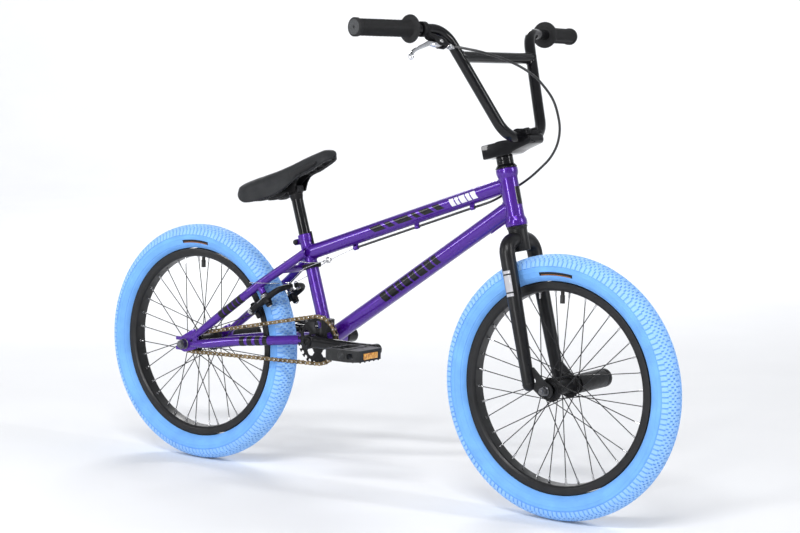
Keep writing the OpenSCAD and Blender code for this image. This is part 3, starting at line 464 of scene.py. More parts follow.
LOOKS = {
    "frame_paint": finish_of("frame_paint", (0.062, 0.006, 0.27), 0.28, metal=0.45, coat=0.75,
                             coat_rough=0.02, specular=0.3,
                             vary=0.05, vary_scale=9, grain=0.006, grain_scale=500),
    "fork_paint": finish_of("fork_paint", (0.006, 0.006, 0.007), 0.34, specular=0.25, coat=0.15,
                            coat_rough=0.3, vary=0.2,
                            grain=0.10, grain_scale=1500),
    "black_paint": finish_of("black_paint", (0.003, 0.003, 0.004), 0.2, specular=0.08, coat=0.5,
                             coat_rough=0.03, vary=0.2,
                             grain=0.02, grain_scale=600),
    "black_metal": finish_of("black_metal", (0.008, 0.008, 0.009), 0.42, specular=0.25, metal=0.3,
                             vary=0.25, vary_scale=60,
                             grain=0.15, grain_scale=2200, wear=(0.07, 0.07, 0.075)),
    "steel": finish_of("steel", (0.56, 0.56, 0.57), 0.24, metal=1.0, vary=0.12, vary_scale=120, grain=0.1,
                       grain_scale=1800),
    "lever_alloy": finish_of("lever_alloy", (0.78, 0.79, 0.82), 0.13, metal=1.0, vary=0.05, vary_scale=50,
                             grain=0.04, grain_scale=1200),
    "chain_steel": finish_of("chain_steel", (0.12, 0.085, 0.042), 0.36, metal=1.0, vary=0.3, vary_scale=90,
                             second=(0.27, 0.20, 0.11), grain=0.2, grain_scale=2500),
    "tyre_rubber": finish_of("tyre_rubber", (0.165, 0.41, 0.87), 0.6, wear=(0.40, 0.66, 0.98), vary=0.09,
                             vary_scale=26, grain=0.25,
                             grain_scale=1700, sheen=0.05, specular=0.3),
    "tube_rubber": finish_of("tube_rubber", (0.02, 0.02, 0.02), 0.6, grain=0.3),
    "rim_paint": finish_of("rim_paint", (0.008, 0.008, 0.009), 0.38, specular=0.35, metal=0.2, coat=0.2,
                           coat_rough=0.25, vary=0.2,
                           vary_scale=40, grain=0.08, grain_scale=2000),
    "spoke_steel": finish_of("spoke_steel", (0.012, 0.012, 0.013), 0.32, metal=0.4, vary=0.2, grain=0.05),
    "grip_rubber": finish_of("grip_rubber", (0.011, 0.011, 0.012), 0.62, vary=0.3, vary_scale=300, grain=0.5,
                             grain_scale=2600, specular=0.3),
    "cable_jacket": finish_of("cable_jacket", (0.008, 0.008, 0.009), 0.33, coat=0.4, coat_rough=0.2, vary=0.2,
                              grain=0.05),
    "pedal_plastic": finish_of("pedal_plastic", (0.014, 0.015, 0.016), 0.5, specular=0.35, vary=0.2,
                               vary_scale=80, grain=0.4,
                               grain_scale=1900, wear=(0.06, 0.06, 0.065)),
    "seat_plastic": finish_of(
        "seat_plastic", (0.008, 0.008, 0.009), 0.45, specular=0.3, vary=0.2, grain=0.3, grain_scale=1600,
    ),
    "seat_vinyl": finish_of("seat_vinyl", (0.013, 0.014, 0.016), 0.6, vary=0.16, vary_scale=22, cells=0.45,
                            cell_scale=900, sheen=0.04, specular=0.3),
}
# Black for the printed bars, bands, badge and tyre labels; on the seat tube it also serves as painted shade
# for the open clamp slot.
GRAPHIC_AND_SHADE_BLACK = finish_of("graphic_and_shade_black", (0.004, 0.004, 0.006), 0.35, specular=0.2, coat=0.3, vary=0.2)
DARK_STEEL = finish_of(
    "dark_steel", (0.17, 0.17, 0.18), 0.34, metal=1.0, vary=0.2, vary_scale=140, grain=0.15,
)
GRAPHIC_WHITE = finish_of("graphic_white", (0.72, 0.72, 0.76), 0.3, coat=1.0, coat_rough=0.03, vary=0.04)
GRAPHIC_ORANGE = finish_of("graphic_orange", (0.75, 0.24, 0.03), 0.45, vary=0.06)
REFLECTOR = finish_of("reflector", (0.62, 0.19, 0.015), 0.16, coat=1.0, vary=0.25, vary_scale=220, cells=0.9,
                      cell_scale=420, second=(0.95, 0.42, 0.05))
PAD_RUBBER = finish_of("pad_rubber", (0.02, 0.02, 0.021), 0.75, vary=0.2, grain=0.4)
GRIP_END = finish_of("grip_end", (0.045, 0.047, 0.05), 0.6, vary=0.5, vary_scale=500, grain=0.4)


# ---------- pieces ----------


def apply_modifiers(piece):
    graph = bpy.context.evaluated_depsgraph_get()
    mesh = bpy.data.meshes.new_from_object(piece.evaluated_get(graph))
    old = piece.data
    piece.modifiers.clear()
    piece.data = mesh
    bpy.data.meshes.remove(old)


def shade(mesh, sharp):
    """Smooth shading that breaks at edges sharper than the given angle."""
    work = bmesh.new()
    work.from_mesh(mesh)
    bmesh.ops.recalc_face_normals(work, faces=work.faces)
    for face in work.faces:
        face.smooth = True
    limit = math.radians(sharp)
    for edge in work.edges:
        edge.smooth = len(edge.link_faces) == 2 and edge.calc_face_angle(0) < limit
    work.to_mesh(mesh)
    work.free()


def new_object(name, shape):
    mesh = bpy.data.meshes.new(name)
    mesh.from_pydata([Vector(p) * MM for p in shape[0]], [], shape[1])
    mesh.validate()
    piece = bpy.data.objects.new(name, mesh)
    bpy.context.scene.collection.objects.link(piece)
    return piece


def dress(piece, body, slot, stands_for=(), look=None, sharp=32, bevel=0.0, ride=True):
    """Bevels a piece if asked, shades it, gives it its finish and puts it on its body."""
    if bevel:
        modifier = piece.modifiers.new("bevel", "BEVEL")
        modifier.width = bevel * MM
        modifier.segments = 3
        modifier.limit_method = "ANGLE"
        modifier.angle_limit = math.radians(38)
        apply_modifiers(piece)
    shade(piece.data, sharp)
    piece.data.materials.clear()
    piece.data.materials.append(look or LOOKS[slot])
    if ride:
        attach(piece, body)
    if stands_for:
        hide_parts(*stands_for)
    return piece


def add(name, shape, body, slot, stands_for=(), **extra):
    return dress(new_object(name, shape), body, slot, stands_for, **extra)


def refined(name, node, body, slot, bevel, **extra):
    """A CAD node's own shape with its flat faces made whole and its edges rounded."""
    piece = bpy.data.objects.new(name, frame["nodes"][node].data.copy())
    bpy.context.scene.collection.objects.link(piece)
    work = bmesh.new()
    work.from_mesh(piece.data)
    bmesh.ops.remove_doubles(work, verts=work.verts, dist=2e-6)
    bmesh.ops.dissolve_limit(work, angle_limit=math.radians(1.5), verts=work.verts, edges=work.edges)
    work.to_mesh(piece.data)
    work.free()
    return dress(piece, body, slot, (node,), bevel=bevel, **extra)


def carved(shape, cutters):
    """A shape with others cut out of it."""
    base = new_object("base", shape)
    tool = new_object("tool", join(*cutters))
    modifier = base.modifiers.new("cut", "BOOLEAN")
    modifier.object = tool
    modifier.operation = "DIFFERENCE"
    modifier.solver = "EXACT"
    modifier.use_self = True
    apply_modifiers(base)
    result = ([v.co / MM for v in base.data.vertices], [tuple(f.vertices) for f in base.data.polygons])
    bpy.data.objects.remove(base)
    bpy.data.objects.remove(tool)
    return result


def softened(name, shape, body, slot, voxel, passes, stands_for=(), **extra):
    """A cast or forged shape: its parts melt together and its edges round off."""
    piece = new_object(name, shape)
    modifier = piece.modifiers.new("melt", "REMESH")
    modifier.mode = "VOXEL"
    modifier.voxel_size = voxel * MM
    modifier = piece.modifiers.new("smooth", "SMOOTH")
    modifier.factor = 0.5
    modifier.iterations = passes
    apply_modifiers(piece)
    return dress(piece, body, slot, stands_for, sharp=60, **extra)


# ---------- camera, lights and floor ----------

CAMERA_AT = Vector((2.43335, -3.22508, 0.88314))
CAMERA_YAW = math.radians(126.17651)
CAMERA_DOWN = math.radians(5.85236)
CAMERA_ROLL = math.radians(1.06965)
CAMERA_LENS = 87.1245


def make_camera():
    ahead = Vector((
        math.cos(CAMERA_YAW) * math.cos(CAMERA_DOWN),
        math.sin(CAMERA_YAW) * math.cos(CAMERA_DOWN),
        -math.sin(CAMERA_DOWN),
    ))
    right = ahead.cross(Vector((0, 0, 1))).normalized()
    up = right.cross(ahead)
    c, s = math.cos(CAMERA_ROLL), math.sin(CAMERA_ROLL)
    right, up = c * right + s * up, -s * right + c * up
    camera = bpy.data.objects.new("camera", bpy.data.cameras.new("camera"))
    camera.data.lens = CAMERA_LENS
    camera.data.sensor_width = 36
    camera.matrix_world = Matrix((
        (right.x, up.x, -ahead.x, CAMERA_AT.x),
        (right.y, up.y, -ahead.y, CAMERA_AT.y),
        (right.z, up.z, -ahead.z, CAMERA_AT.z),
        (0, 0, 0, 1),
    ))
    bpy.context.scene.collection.objects.link(camera)
    bpy.context.scene.camera = camera


def make_light(name, place, width, height, power, target=(0, 0, 0.45)):
    light = bpy.data.lights.new(name, "AREA")
    light.shape = "RECTANGLE"
    light.size = width
    light.size_y = height
    light.energy = power
    lamp = bpy.data.objects.new(name, light)
    lamp.location = place
    lamp.rotation_euler = (Vector(target) - Vector(place)).to_track_quat("-Z", "Y").to_euler()
    bpy.context.scene.collection.objects.link(lamp)


def make_studio():
    world = bpy.data.worlds.new("studio")
    world.use_nodes = True
    background = world.node_tree.nodes["Background"]
    background.inputs["Color"].default_value = (0.95, 0.97, 1.0, 1)
    background.inputs["Strength"].default_value = 0.42
    bpy.context.scene.world = world
    bpy.context.scene.view_settings.view_transform = "Standard"
    make_light("key_light", (1.6, -3.4, 4.2), 2.4, 0.32, 125)
    make_light("side_light", (4.2, 0.6, 2.6), 0.25, 2.4, 58)
    make_light("back_light", (-3.2, 3.2, 3.6), 2.2, 0.7, 90)
    make_light("low_light", (-3.4, -3.4, 1.8), 0.35, 2.2, 36)
    make_light("front_strip", (0.4, -4.6, 1.6), 0.16, 2.6, 75)
    make_light("paper_wash", (-2.6, 4.6, 6.0), 5.0, 2.0, 420, (-7.5, 10, 1.5))
    sweep = [(0.02, 0), (9000, 0)] + [
        (
            9000 + 3500 * math.sin(a), 3500 - 3500 * math.cos(a),
        ) for a in [math.pi / 2 * i / 24 for i in range(1, 25)]
    ] + [(12500, 7000)]
    floor = new_object("paper_sweep", open_turned(sweep, 160))
    shade(floor.data, 60)
    floor.data.materials.append(
        finish_of(
            "floor_paper", (0.86, 0.865, 0.88), 0.85, vary=0.01, vary_scale=2, grain=0.05, grain_scale=300,
        )
    )


make_camera()
make_studio()


# ---------- frame ----------


def straight(tube_of, start_on=None, end_on=None, sides=48):
    start, end, radius = tube_of
    return tube([start, end], radius, sides, start_on=start_on, end_on=end_on)


def weld_at(tube_of, target, arriving, bead=2.0):
    start, end, radius = tube_of
    return weld(start, end - start, radius, target, arriving, bead)


def make_main_tubes():
    l = HEAD_TUBE_L
    head = turned(HEAD, HEAD_UP, [
        (16.7, 0.3), (20, 0), (22, 1.2), (22.2, 9), (21.4, 13), (18.9, 19), (18.7, 26), (18.7, l - 26),
        (18.9, l - 19),
        (21.4, l - 13), (22.2, l - 9), (22, l - 1.2), (20, l), (16.7, l - 0.3),
    ], 2.0, ring=True)
    add("head_tube_shell", head, "frame", "frame_paint", ["head_tube"])
    add("top_tube_shell", join(
        straight(TOP_TUBE, SEAT_TUBE, HEAD_TUBE),
        weld_at(TOP_TUBE, SEAT_TUBE, False), weld_at(TOP_TUBE, HEAD_TUBE, True),
    ), "frame", "frame_paint", ["top_tube"])
    add("down_tube_shell", join(
        straight(DOWN_TUBE, SHELL, HEAD_TUBE),
        weld_at(DOWN_TUBE, SHELL, False), weld_at(DOWN_TUBE, HEAD_TUBE, True),
    ), "frame", "frame_paint", ["down_tube"])
    add("bracket_shell", turned(BRACKET, Y, [
        (19.5, -33.5), (20, -34), (22, -34), (22, 34), (20, 34), (19.5, 33.5),
    ], 0.8, ring=True), "frame", "frame_paint", ["bottom_bracket_shell"])


def make_seat_tube():
    foot, top, r = SEAT_TUBE
    ear = SEAT_TOP - SEAT_UP * 14 + Vector((-20, 0, -4))
    back = SEAT_UP.cross(Y)
    collar = turned(
        top - SEAT_UP * 16, SEAT_UP, [(r - 1, 0), (r + 1.7, 0), (r + 1.7, 16), (13, 16), (12.8, 15)], 0.6,
    )
    ears = [
        extruded(
            ear + Y * y, SEAT_UP, -back, rounded([(-6.5, -7), (6.5, -7), (6.5, 8), (-6.5, 8)], 5), -4, 4,
        )
        for y in (-5.2, 5.2)
    ]
    # The thin black slab is painted shade: it stands for the dark of the open clamp slot in place of a cut
    # through the tube.
    slot = block(top - SEAT_UP * 14 - back * 14, -back, Y, (12, 2, 34), 1)
    shape = join(
        straight((foot, top - SEAT_UP * 1, r), SHELL), weld_at(SEAT_TUBE, SHELL, False), collar, *ears,
    )
    add("seat_tube_shell", shape, "frame", "frame_paint", ["seat_tube"])
    add("clamp_slot_shade", slot, "frame", "frame_paint", look=GRAPHIC_AND_SHADE_BLACK)
    bolt = join(
        turned(
            ear, Y,
            [
                (0, -15), (3, -15), (5.5, -14.2), (5.5, -9.4), (3, -9.3), (3, 9.3), (5, 9.4), (5, 14),
                (0, 14),
            ],
            0.6,
        ),
        turned(ear, Y, [(0, -15.3), (2.4, -15.3), (2.4, -15)], 0, steps=6),
    )
    add("clamp_bolt", bolt, "frame", "black_metal", ["seat_clamp_bolt"])


STAY_R = {"chain": 11.0, "seat": 9.5}


def chainstay_path(side):
    points = [
        (-452, 57.5, 264.6), (-400, 55, 271), (-330, 50, 282), (-240, 45, 292), (-170, 29, 299),
        (-116, 15, 304.6),
    ]
    return smooth_path([flip(p, side) for p in points], 6)


def seatstay_path(side):
    points = [
        brake_point(30, 57, 0), brake_point(90, 55, 0), brake_point(180, 51, 0), brake_point(250, 47, 0),
        brake_point(320, 31, 0), brake_point(374, 19, 0),
    ]
    return smooth_path([flip(p, side) for p in points], 6)


def tapered(path, radius, foot_radius, share=0.22):
    n = len(path) - 1
    return [
        foot_radius + (radius - foot_radius) * math.sin(
            math.pi / 2 * min(i / n / share, 1)
        ) for i in range(n + 1)
    ]


def make_stays():
    for word, side in SIDES.items():
        path = chainstay_path(side)
        shape = tube(path, tapered(path, STAY_R["chain"] - 0.5, 6.6), 40, end_on=SHELL)
        joint = weld(path[-2], path[-1] - path[-2], STAY_R["chain"] - 0.5, SHELL)
        add(f"chainstay_tube_{word}", join(shape, joint), "frame", "frame_paint", [f"chainstay_{word}"])
        path = seatstay_path(side)
        shape = tube(path, tapered(path, STAY_R["seat"], 6.6, 0.3), 40, end_on=SEAT_TUBE)
        joint = weld(path[-2], path[-1] - path[-2], STAY_R["seat"], SEAT_TUBE)
        add(f"seatstay_tube_{word}", join(shape, joint), "frame", "frame_paint", [f"seatstay_{word}"])
    refined("dropout_plates", "rear_dropouts", "frame", "frame_paint", 1.3)
    refined("gusset_plates", "frame_gussets", "frame", "frame_paint", 0.6)


def on_top_tube(t, below):
    start, end, _ = TOP_TUBE
    d = (end - start).normalized()
    return start + (end - start) * t + Vector((d.z, 0, -d.x)) * below


def make_cable_fittings():
    d = (TOP_TUBE[1] - TOP_TUBE[0]).normalized()
    out = Vector((d.z, 0, -d.x))
    for i, t in enumerate((0.24, 0.55, 0.82)):
        c = on_top_tube(t, 21.9)
        ring = turned(c, d, [(2.7, -5), (4.3, -5), (4.6, 0), (4.3, 5), (2.7, 5)], 0.7, ring=True, steps=32)
        foot = block(c - out * 4.4, d, Y, (12, 5, 4), 2.2)
        add(
            f"housing_guide_{i + 1}", join(ring, foot), "frame", "frame_paint",
            ["cable_fittings"] if i == 0 else (),
        )
    band = SEAT_TOP - SEAT_UP * 70
    shape = turned(band, SEAT_UP, [(14.5, -5), (19.6, -5), (20.6, 0), (21.3, 5), (14.5, 5)], 1.0, ring=True)
    add("cable_band", shape, "frame", "black_metal")


def make_brake_bosses():
    for word, side in SIDES.items():
        c = brake_point(250, side * 45, 0)
        base = turned(c, STAY_DOWN, [(7, 1), (8, 8), (7.2, 14), (7, 22), (4, 22)], 0.8, steps=40)
        add(f"brake_boss_{word}", base, "frame", "frame_paint", ["brake_bosses"] if side < 0 else ())
        post = join(
            turned(
                c, STAY_DOWN,
                [(3.95, 22), (3.95, 48.2), (7.2, 48.3), (7.6, 49.4), (6.6, 52.4), (5, 53), (0, 53)], 0.4,
                steps=40,
            ),
            turned(c, STAY_DOWN, [(0, 53.2), (2.6, 53.2), (2.6, 52.8)], 0, steps=6),
        )
        add(f"brake_post_{word}", post, "frame", "black_metal")
        cap = turned(
            c, STAY_DOWN, [(0, 53.05), (3.9, 53.05), (3.9, 54.6), (3.2, 55.2), (0, 55.2)], 0.3, steps=32,
        )
        add(f"brake_post_bolt_{word}", cap, "frame", "steel")


def patch_on_tube(start, end, radius, low, high, left, right, slant=0.0, lift=0.16, steps=10):
    """A thin patch on a tube, between two distances along it and two angles about it from its underside."""
    d = (end - start).normalized()
    x = Y.cross(d).normalized()
    rows = 3
    points = []
    for shell in (lift, -0.4):
        for i in range(rows + 1):
            for j in range(steps + 1):
                share = j / steps
                a = math.radians(left + (right - left) * share)
                h = low + (high - low) * i / rows + slant * (share - 0.5)
                points.append(start + d * h + (radius + shell) * (Y * math.cos(a) + x * math.sin(a)))
    w = steps + 1
    n = (rows + 1) * w
    faces = []
    for i in range(rows):
        for j in range(steps):
            q = (i * w + j, (i + 1) * w + j, (i + 1) * w + j + 1, i * w + j + 1)
            faces += [q, tuple(k + n for k in q[::-1])]
    rim = [j for j in range(w)] + [i * w + steps for i in range(1, rows + 1)]
    rim += [rows * w + j for j in range(steps - 1, -1, -1)] + [i * w for i in range(rows - 1, 0, -1)]
    for k, a in enumerate(rim):
        b = rim[(k + 1) % len(rim)]
        faces.append((a, b, b + n, a + n))
    return points, faces


def make_graphics():
    """Plain bars in place of lettering, on both sides of the frame."""
    for word, side in SIDES.items():
        middle = 0 if side > 0 else 180
        bars = []
        widths = (17, 21, 13, 19, 15, 21, 17, 13)
        h = 178
        for width in widths:
            bars.append(patch_on_tube(*DOWN_TUBE, h, h + width, middle - 38, middle + 38, 7 * side))
            h += width + 4.5
        add(f"down_tube_bars_{word}", join(*bars), "frame", "frame_paint", look=GRAPHIC_AND_SHADE_BLACK)
        whites = []
        h = 398
        for width in (11, 8, 14, 9, 12):
            whites.append(patch_on_tube(*TOP_TUBE, h, h + width, middle - 30, middle + 30, 5 * side))
            h += width + 3
        add(f"top_tube_bars_{word}", join(*whites), "frame", "frame_paint", look=GRAPHIC_WHITE)
        darks = []
        h = 190
        for width in (30, 16, 38, 12, 26, 18):
            darks.append(patch_on_tube(*TOP_TUBE, h, h + width, middle - 22, middle + 26, 14 * side))
            h += width + 9
        add(f"top_tube_flashes_{word}", join(*darks), "frame", "frame_paint", look=GRAPHIC_AND_SHADE_BLACK)
    bands = []
    for side in (-1, 1):
        for path, radius, starts in (
            (chainstay_path(side), STAY_R["chain"] - 0.5, (0.44, 0.485, 0.53, 0.575)),
            (seatstay_path(side), STAY_R["seat"], (0.28, 0.315, 0.35, 0.385, 0.42)),
        ):
            n = len(path) - 1
            for t in starts:
                a = path[int(t * n)].lerp(path[int(t * n) + 1], t * n % 1)
                b = path[int((t + 0.028) * n)].lerp(path[int((t + 0.028) * n) + 1], (t + 0.028) * n % 1)
                bands.append(tube([a, b], radius + 0.25, 40))
    add("stay_bands", join(*bands), "frame", "frame_paint", look=GRAPHIC_AND_SHADE_BLACK)
    badge = patch_on_tube(HEAD, HEAD + HEAD_UP * 100, 18.75, 42, 78, 62, 118)
    add("head_badge", badge, "frame", "frame_paint", look=GRAPHIC_AND_SHADE_BLACK)


# ---------- wheels ----------

TYRE_C = 235.6
TYRE_SHIFT = 2.1
TYRE_R = 28.3
TREAD_FLOOR = 26.4
TREAD_PITCHES = 150


def tyre_point(c, wheel_angle, phi, r):
    """A point of the tyre: phi runs over its section from the middle of the tread, in degrees."""
    f = math.radians(phi)
    out = TYRE_C + r * math.cos(f)
    across = r * math.sin(f) + TYRE_SHIFT * max(-1.0, min(1.0, phi / 12))
    return Vector((c.x + out * math.cos(wheel_angle), c.y + across, c.z + out * math.sin(wheel_angle)))


def carcass_radius(phi):
    """Section radius of the tyre without its blocks, lower under the tread and ridged on the sidewall."""
    a = abs(phi)
    if a < 77:
        return TREAD_FLOOR
    r = TREAD_FLOOR + (27.6 - TREAD_FLOOR) * min((a - 77) / 4, 1)
    for ridge in (84, 97, 121, 130):
        r += 0.55 * max(0, 1 - abs(a - ridge) / 1.6)
    return r


def tyre_carcass(c, steps=180):
    angles = [-149 + 298 * i / 149 for i in range(150)]
    profile = [(a, carcass_radius(a)) for a in angles]
    profile += [(a, 24.2) for a in (149, 130, 100, 60, 20, -20, -60, -100, -130, -149)]
    points = []
    for phi, r in profile:
        for j in range(steps):
            points.append(tyre_point(c, 2 * math.pi * j / steps, phi, r))
    m = len(profile)
    faces = []
    for i in range(m):
        for j in range(steps):
            a, b = i * steps, (i + 1) % m * steps
            k = (j + 1) % steps
            faces.append((a + j, b + j, b + k, a + k))
    return points, faces


def tread_block(c, start, end, phi1, phi2, top):
    """One block: its sides slope and its top follows the tyre's curve."""
    spans = max(int(abs(phi2 - phi1) / 7), 1)
    points = []
    for i in range(spans + 1):
        t = i / spans
        phi = phi1 + (phi2 - phi1) * t
        ease = 0.85 * (0.5 - t) * 2
        for angle, sign in ((start, 1), (end, -1)):
            slope = sign * (end - start) * 0.07
            points.append(tyre_point(c, angle, phi, TREAD_FLOOR - 0.5))
            points.append(tyre_point(c, angle + slope, phi + (ease if i in (0, spans) else 0), top))
    faces = [(0, 1, 3, 2)]
    for i in range(spans):
        a = i * 4
        faces += [
            (a, a + 4, a + 5, a + 1), (a + 1, a + 5, a + 7, a + 3), (a + 3, a + 7, a + 6, a + 2),
            (a + 2, a + 6, a + 4, a),
        ]
    e = spans * 4
    faces.append((e + 2, e + 3, e + 1, e))
    return points, faces


def tread(c):
    """Small bricks in staggered rows, and long blocks of two lengths on the shoulders."""
    step = 2 * math.pi / TREAD_PITCHES
    rows = [(-5.4, 5.4, 0.0), (6.8, 16.2, 0.5), (17.6, 27.0, 0.0), (28.4, 38.4, 0.5), (39.8, 50.2, 0.0)]
    blocks = []
    for i in range(TREAD_PITCHES):
        for inner, outer, offset in rows:
            a = (i + offset) * step
            wide = 0.80 if i % 2 else 0.86
            blocks.append(tread_block(c, a, a + step * wide, inner, outer, TYRE_R))
            if inner > 0:
                blocks.append(
                    tread_block(c, a + step * 0.5, a + step * (0.5 + wide), -inner, -outer, TYRE_R)
                )
        inner = 51.6 if i % 2 else 57.0
        for sign in (-1, 1):
            a = (i + 0.5 + 0.25 * sign) * step
            blocks.append(tread_block(c, a, a + step * 0.80, sign * inner, sign * 76, TYRE_R - 0.1))
            if i % 2 == 0:
                blocks.append(tread_block(c, a, a + step * 0.80, sign * 51.6, sign * 55.6, TYRE_R - 0.3))
    return join(*blocks)


def sidewall_label(c, side, half_angle, low, high, lift):
    """A thin patch on the sidewall at the top of the wheel."""
    steps = 24
    rows = 3
    points = []
    for shell in (lift, -0.5):
        for i in range(rows + 1):
            for j in range(steps + 1):
                a = math.radians(90 - half_angle + 2 * half_angle * j / steps)
                phi = side * (low + (high - low) * i / rows)
                points.append(tyre_point(c, a, phi, 27.6 + shell))
    w = steps + 1
    n = (rows + 1) * w
    faces = []
    for i in range(rows):
        for j in range(steps):
            q = (i * w + j, (i + 1) * w + j, (i + 1) * w + j + 1, i * w + j + 1)
            faces += [q, tuple(k + n for k in q[::-1])]
    rim = list(range(w)) + [i * w + steps for i in range(1, rows + 1)]
    rim += [rows * w + j for j in range(steps - 1, -1, -1)] + [i * w for i in range(rows - 1, 0, -1)]
    for k, a in enumerate(rim):
        b = rim[(k + 1) % len(rim)]
        faces.append((a, b, b + n, a + n))
    return points, faces


def rim_shape(c):
    half = [
        (192, 12.5), (193.4, 15.2), (197.5, 18), (210, 18), (210.2, 16.4), (206, 16.3), (204.2, 15.2),
        (203.4, 12), (201.5, 0),
    ]
    section = half + [(r, -y) for r, y in half[-2::-1]]
    return turned(c, Y, section, 0.8, ring=True, steps=180)


def make_wheel(word, c, body, flange_left, flange_right):
    add(f"{word}_carcass", tyre_carcass(c), body, "tyre_rubber", [f"{word}_tyre"], sharp=50)
    add(f"{word}_tread", tread(c), body, "tyre_rubber", sharp=20)
    for side_word, side in SIDES.items():
        add(
            f"{word}_label_{side_word}", sidewall_label(c, side, 9.5, 101, 116, 0.25), body, "tyre_rubber",
            look=GRAPHIC_AND_SHADE_BLACK,
        )
        add(f"{word}_label_stripe_{side_word}", sidewall_label(
            c, side, 8.6, 112.4, 113.8, 0.4,
        ), body, "tyre_rubber",
            look=GRAPHIC_ORANGE)
    add(f"{word}_rim_ring", rim_shape(c), body, "rim_paint", [f"{word}_rim"])
    spokes = []
    nipples = []
    count = 36
    for i in range(count // 2):
        lead = 1 if i % 2 == 0 else -1
        for flange_y, face, extra in ((flange_left, 1, 0), (flange_right, -1, 10)):
            hole = math.radians(i * 20 + 95 + extra)
            rim_angle = hole + lead * math.radians(60)
            out = Vector((math.cos(hole), 0, math.sin(hole)))
            start = c + out * 21 + Y * flange_y
            end = c + Vector((191 * math.cos(rim_angle), face * 3 + lead * 1.8, 191 * math.sin(rim_angle)))
            elbow = start + Y * lead * 2.5
            d = (end - elbow).normalized()
            path = [
                start - Y * lead * 1.6, start + Y * lead * 1.5, elbow + d * 1.2, elbow + d * 6,
                end - d * 10,
            ]
            spokes.append(tube(path, 1.0, 10))
            spokes.append(
                turned(
                    start - Y * lead * 1.5, Y * -lead, [(0, 0), (1.9, 0), (1.6, 1.1), (0, 1.4)], 0.3,
                    steps=10,
                )
            )
            nipples.append(
                tube(
                    [end - d * 12, end - d * 11.4, end - d * 3, end - d * 2.9, end + d * 2],
                    [1.5, 2.0, 2.0, 2.6, 2.6], 8,
                )
            )
    add(f"{word}_spoke_set", join(*spokes), body, "spoke_steel", [f"{word}_spokes"])
    add(f"{word}_nipples", join(*nipples), body, "steel")
    valve = join(
        turned(
            c, (0, 0, 1), [(0, 190), (3.85, 190), (3.85, 178), (2.6, 177), (2.6, 172), (0, 172)], 0.5,
            steps=32,
        ),
        turned(
            c, (0, 0, 1), [(0, 183), (4.4, 183), (4.9, 181), (4.9, 169.5), (4.2, 167.2), (0, 167)], 0.7,
            steps=14,
        ),
    )
    add(f"{word}_valve", valve, body, "tube_rubber")


def make_hubs():
    f = 34
    shell = turned(FRONT, Y, [
        (11, -39), (14.2, -39), (15, -37.5), (16, f * -1 - 1.6), (24, -f - 1.6), (24, -f + 1.6),
        (17, -f + 1.8), (14.5, -27),
        (13.4, -15), (13.4, 15), (14.5, 27), (17, f - 1.8), (24, f - 1.6), (24, f + 1.6), (16, f + 1.6),
        (15, 37.5), (14.2, 39),
        (11, 39),
    ], 1.0, ring=True)
    add("front_hub_shell", shell, "front_wheel", "black_metal", ["front_hub"])
    l, r = 36, -26
    shell = turned(REAR, Y, [
        (13.2, -29.2), (15.8, -29.2), (17, r - 1.8), (24, r - 1.6), (24, r + 1.6), (18.5, r + 1.8),
        (16, r + 9), (15.2, 0),
        (16, 25), (18.5, l - 1.8), (24, l - 1.6), (24, l + 1.6), (17, l + 1.7), (15.8, 43.6), (12, 43.6),
    ], 1.0, ring=True)
    add("rear_hub_shell", shell, "rear_wheel", "black_metal", ["rear_hub"])


def nut(c, low, high, across, bore):
    """A hexagon nut with chamfered corners on a plain round flange."""
    mid = (low + high) / 2
    outward = 1 if mid > 0 else -1
    base = low if outward > 0 else high
    top = high if outward > 0 else low
    body = turned(c, Y, [
        (bore, base), (across * 0.62, base), (
            across * 0.62, base + outward * 1.6,
        ), (across * 0.57, base + outward * 2.2),
        (bore, base + outward * 2.2),
    ], 0.3, ring=True, steps=48)
    x = Vector((1, 0, 0))
    z = Vector((0, 0, 1))
    hexagonal = extruded(c, z, x, hexagon(across), min(base, top), max(base, top))
    cone = turned(c, Y, [
        (across * 0.60, base), (
            across * 0.60, top - outward * 1.6,
        ), (across * 0.52, top), (across, top + outward * 1),
        (across, base - outward * 1),
    ], 0, ring=True, steps=48)
    hole = turned(
        c, Y, [(0, base - outward), (bore, base - outward), (bore, top + outward), (0, top + outward)], 0,
        steps=32,
    )
    return join(carved(hexagonal, [cone, hole]), body)


def make_axles():
    for word, c, radius, right, left, body in (
        ("front", FRONT, 4.75, -74, 76, "steering"), ("rear", REAR, 7, -80, 80, "frame"),
    ):
        inner = 50 if word == "front" else 55
        rod = turned(
            c, Y, [(0, -inner - 2), (radius - 0.6, -inner - 2), (radius - 0.6, inner + 2), (0, inner + 2)],
            0, steps=32,
        )
        ends = [
            threaded(c, Y, inner, left, radius),
            threaded(c, -Y, inner, -right, radius),
        ]
        cones = [
            turned(
                c, Y * s,
                [(radius, inner - 10), (radius + 3.4, inner - 9), (radius + 3.4, inner), (radius, inner)],
                0.5, ring=True,
            )
            for s in (-1, 1)
        ]
        add(f"{word}_axle_rod", join(rod, *ends, *cones), body, "steel", [f"{word}_axle"], look=DARK_STEEL)
    face = {"front": 56, "rear": 61}
    add("front_nuts", join(
        nut(FRONT, -67, -face["front"] - 0.1, 15, 4.9), nut(FRONT, 62.1, 72, 15, 4.9),
    ), "steering", "steel", ["front_axle_nuts"], look=DARK_STEEL)
    add("rear_nuts", join(
        nut(REAR, -73.5, -face["rear"] - 0.1, 19, 7.1), nut(REAR, 67.1, 78, 17, 7.1),
    ), "frame", "steel", ["rear_axle_nuts"], look=DARK_STEEL)


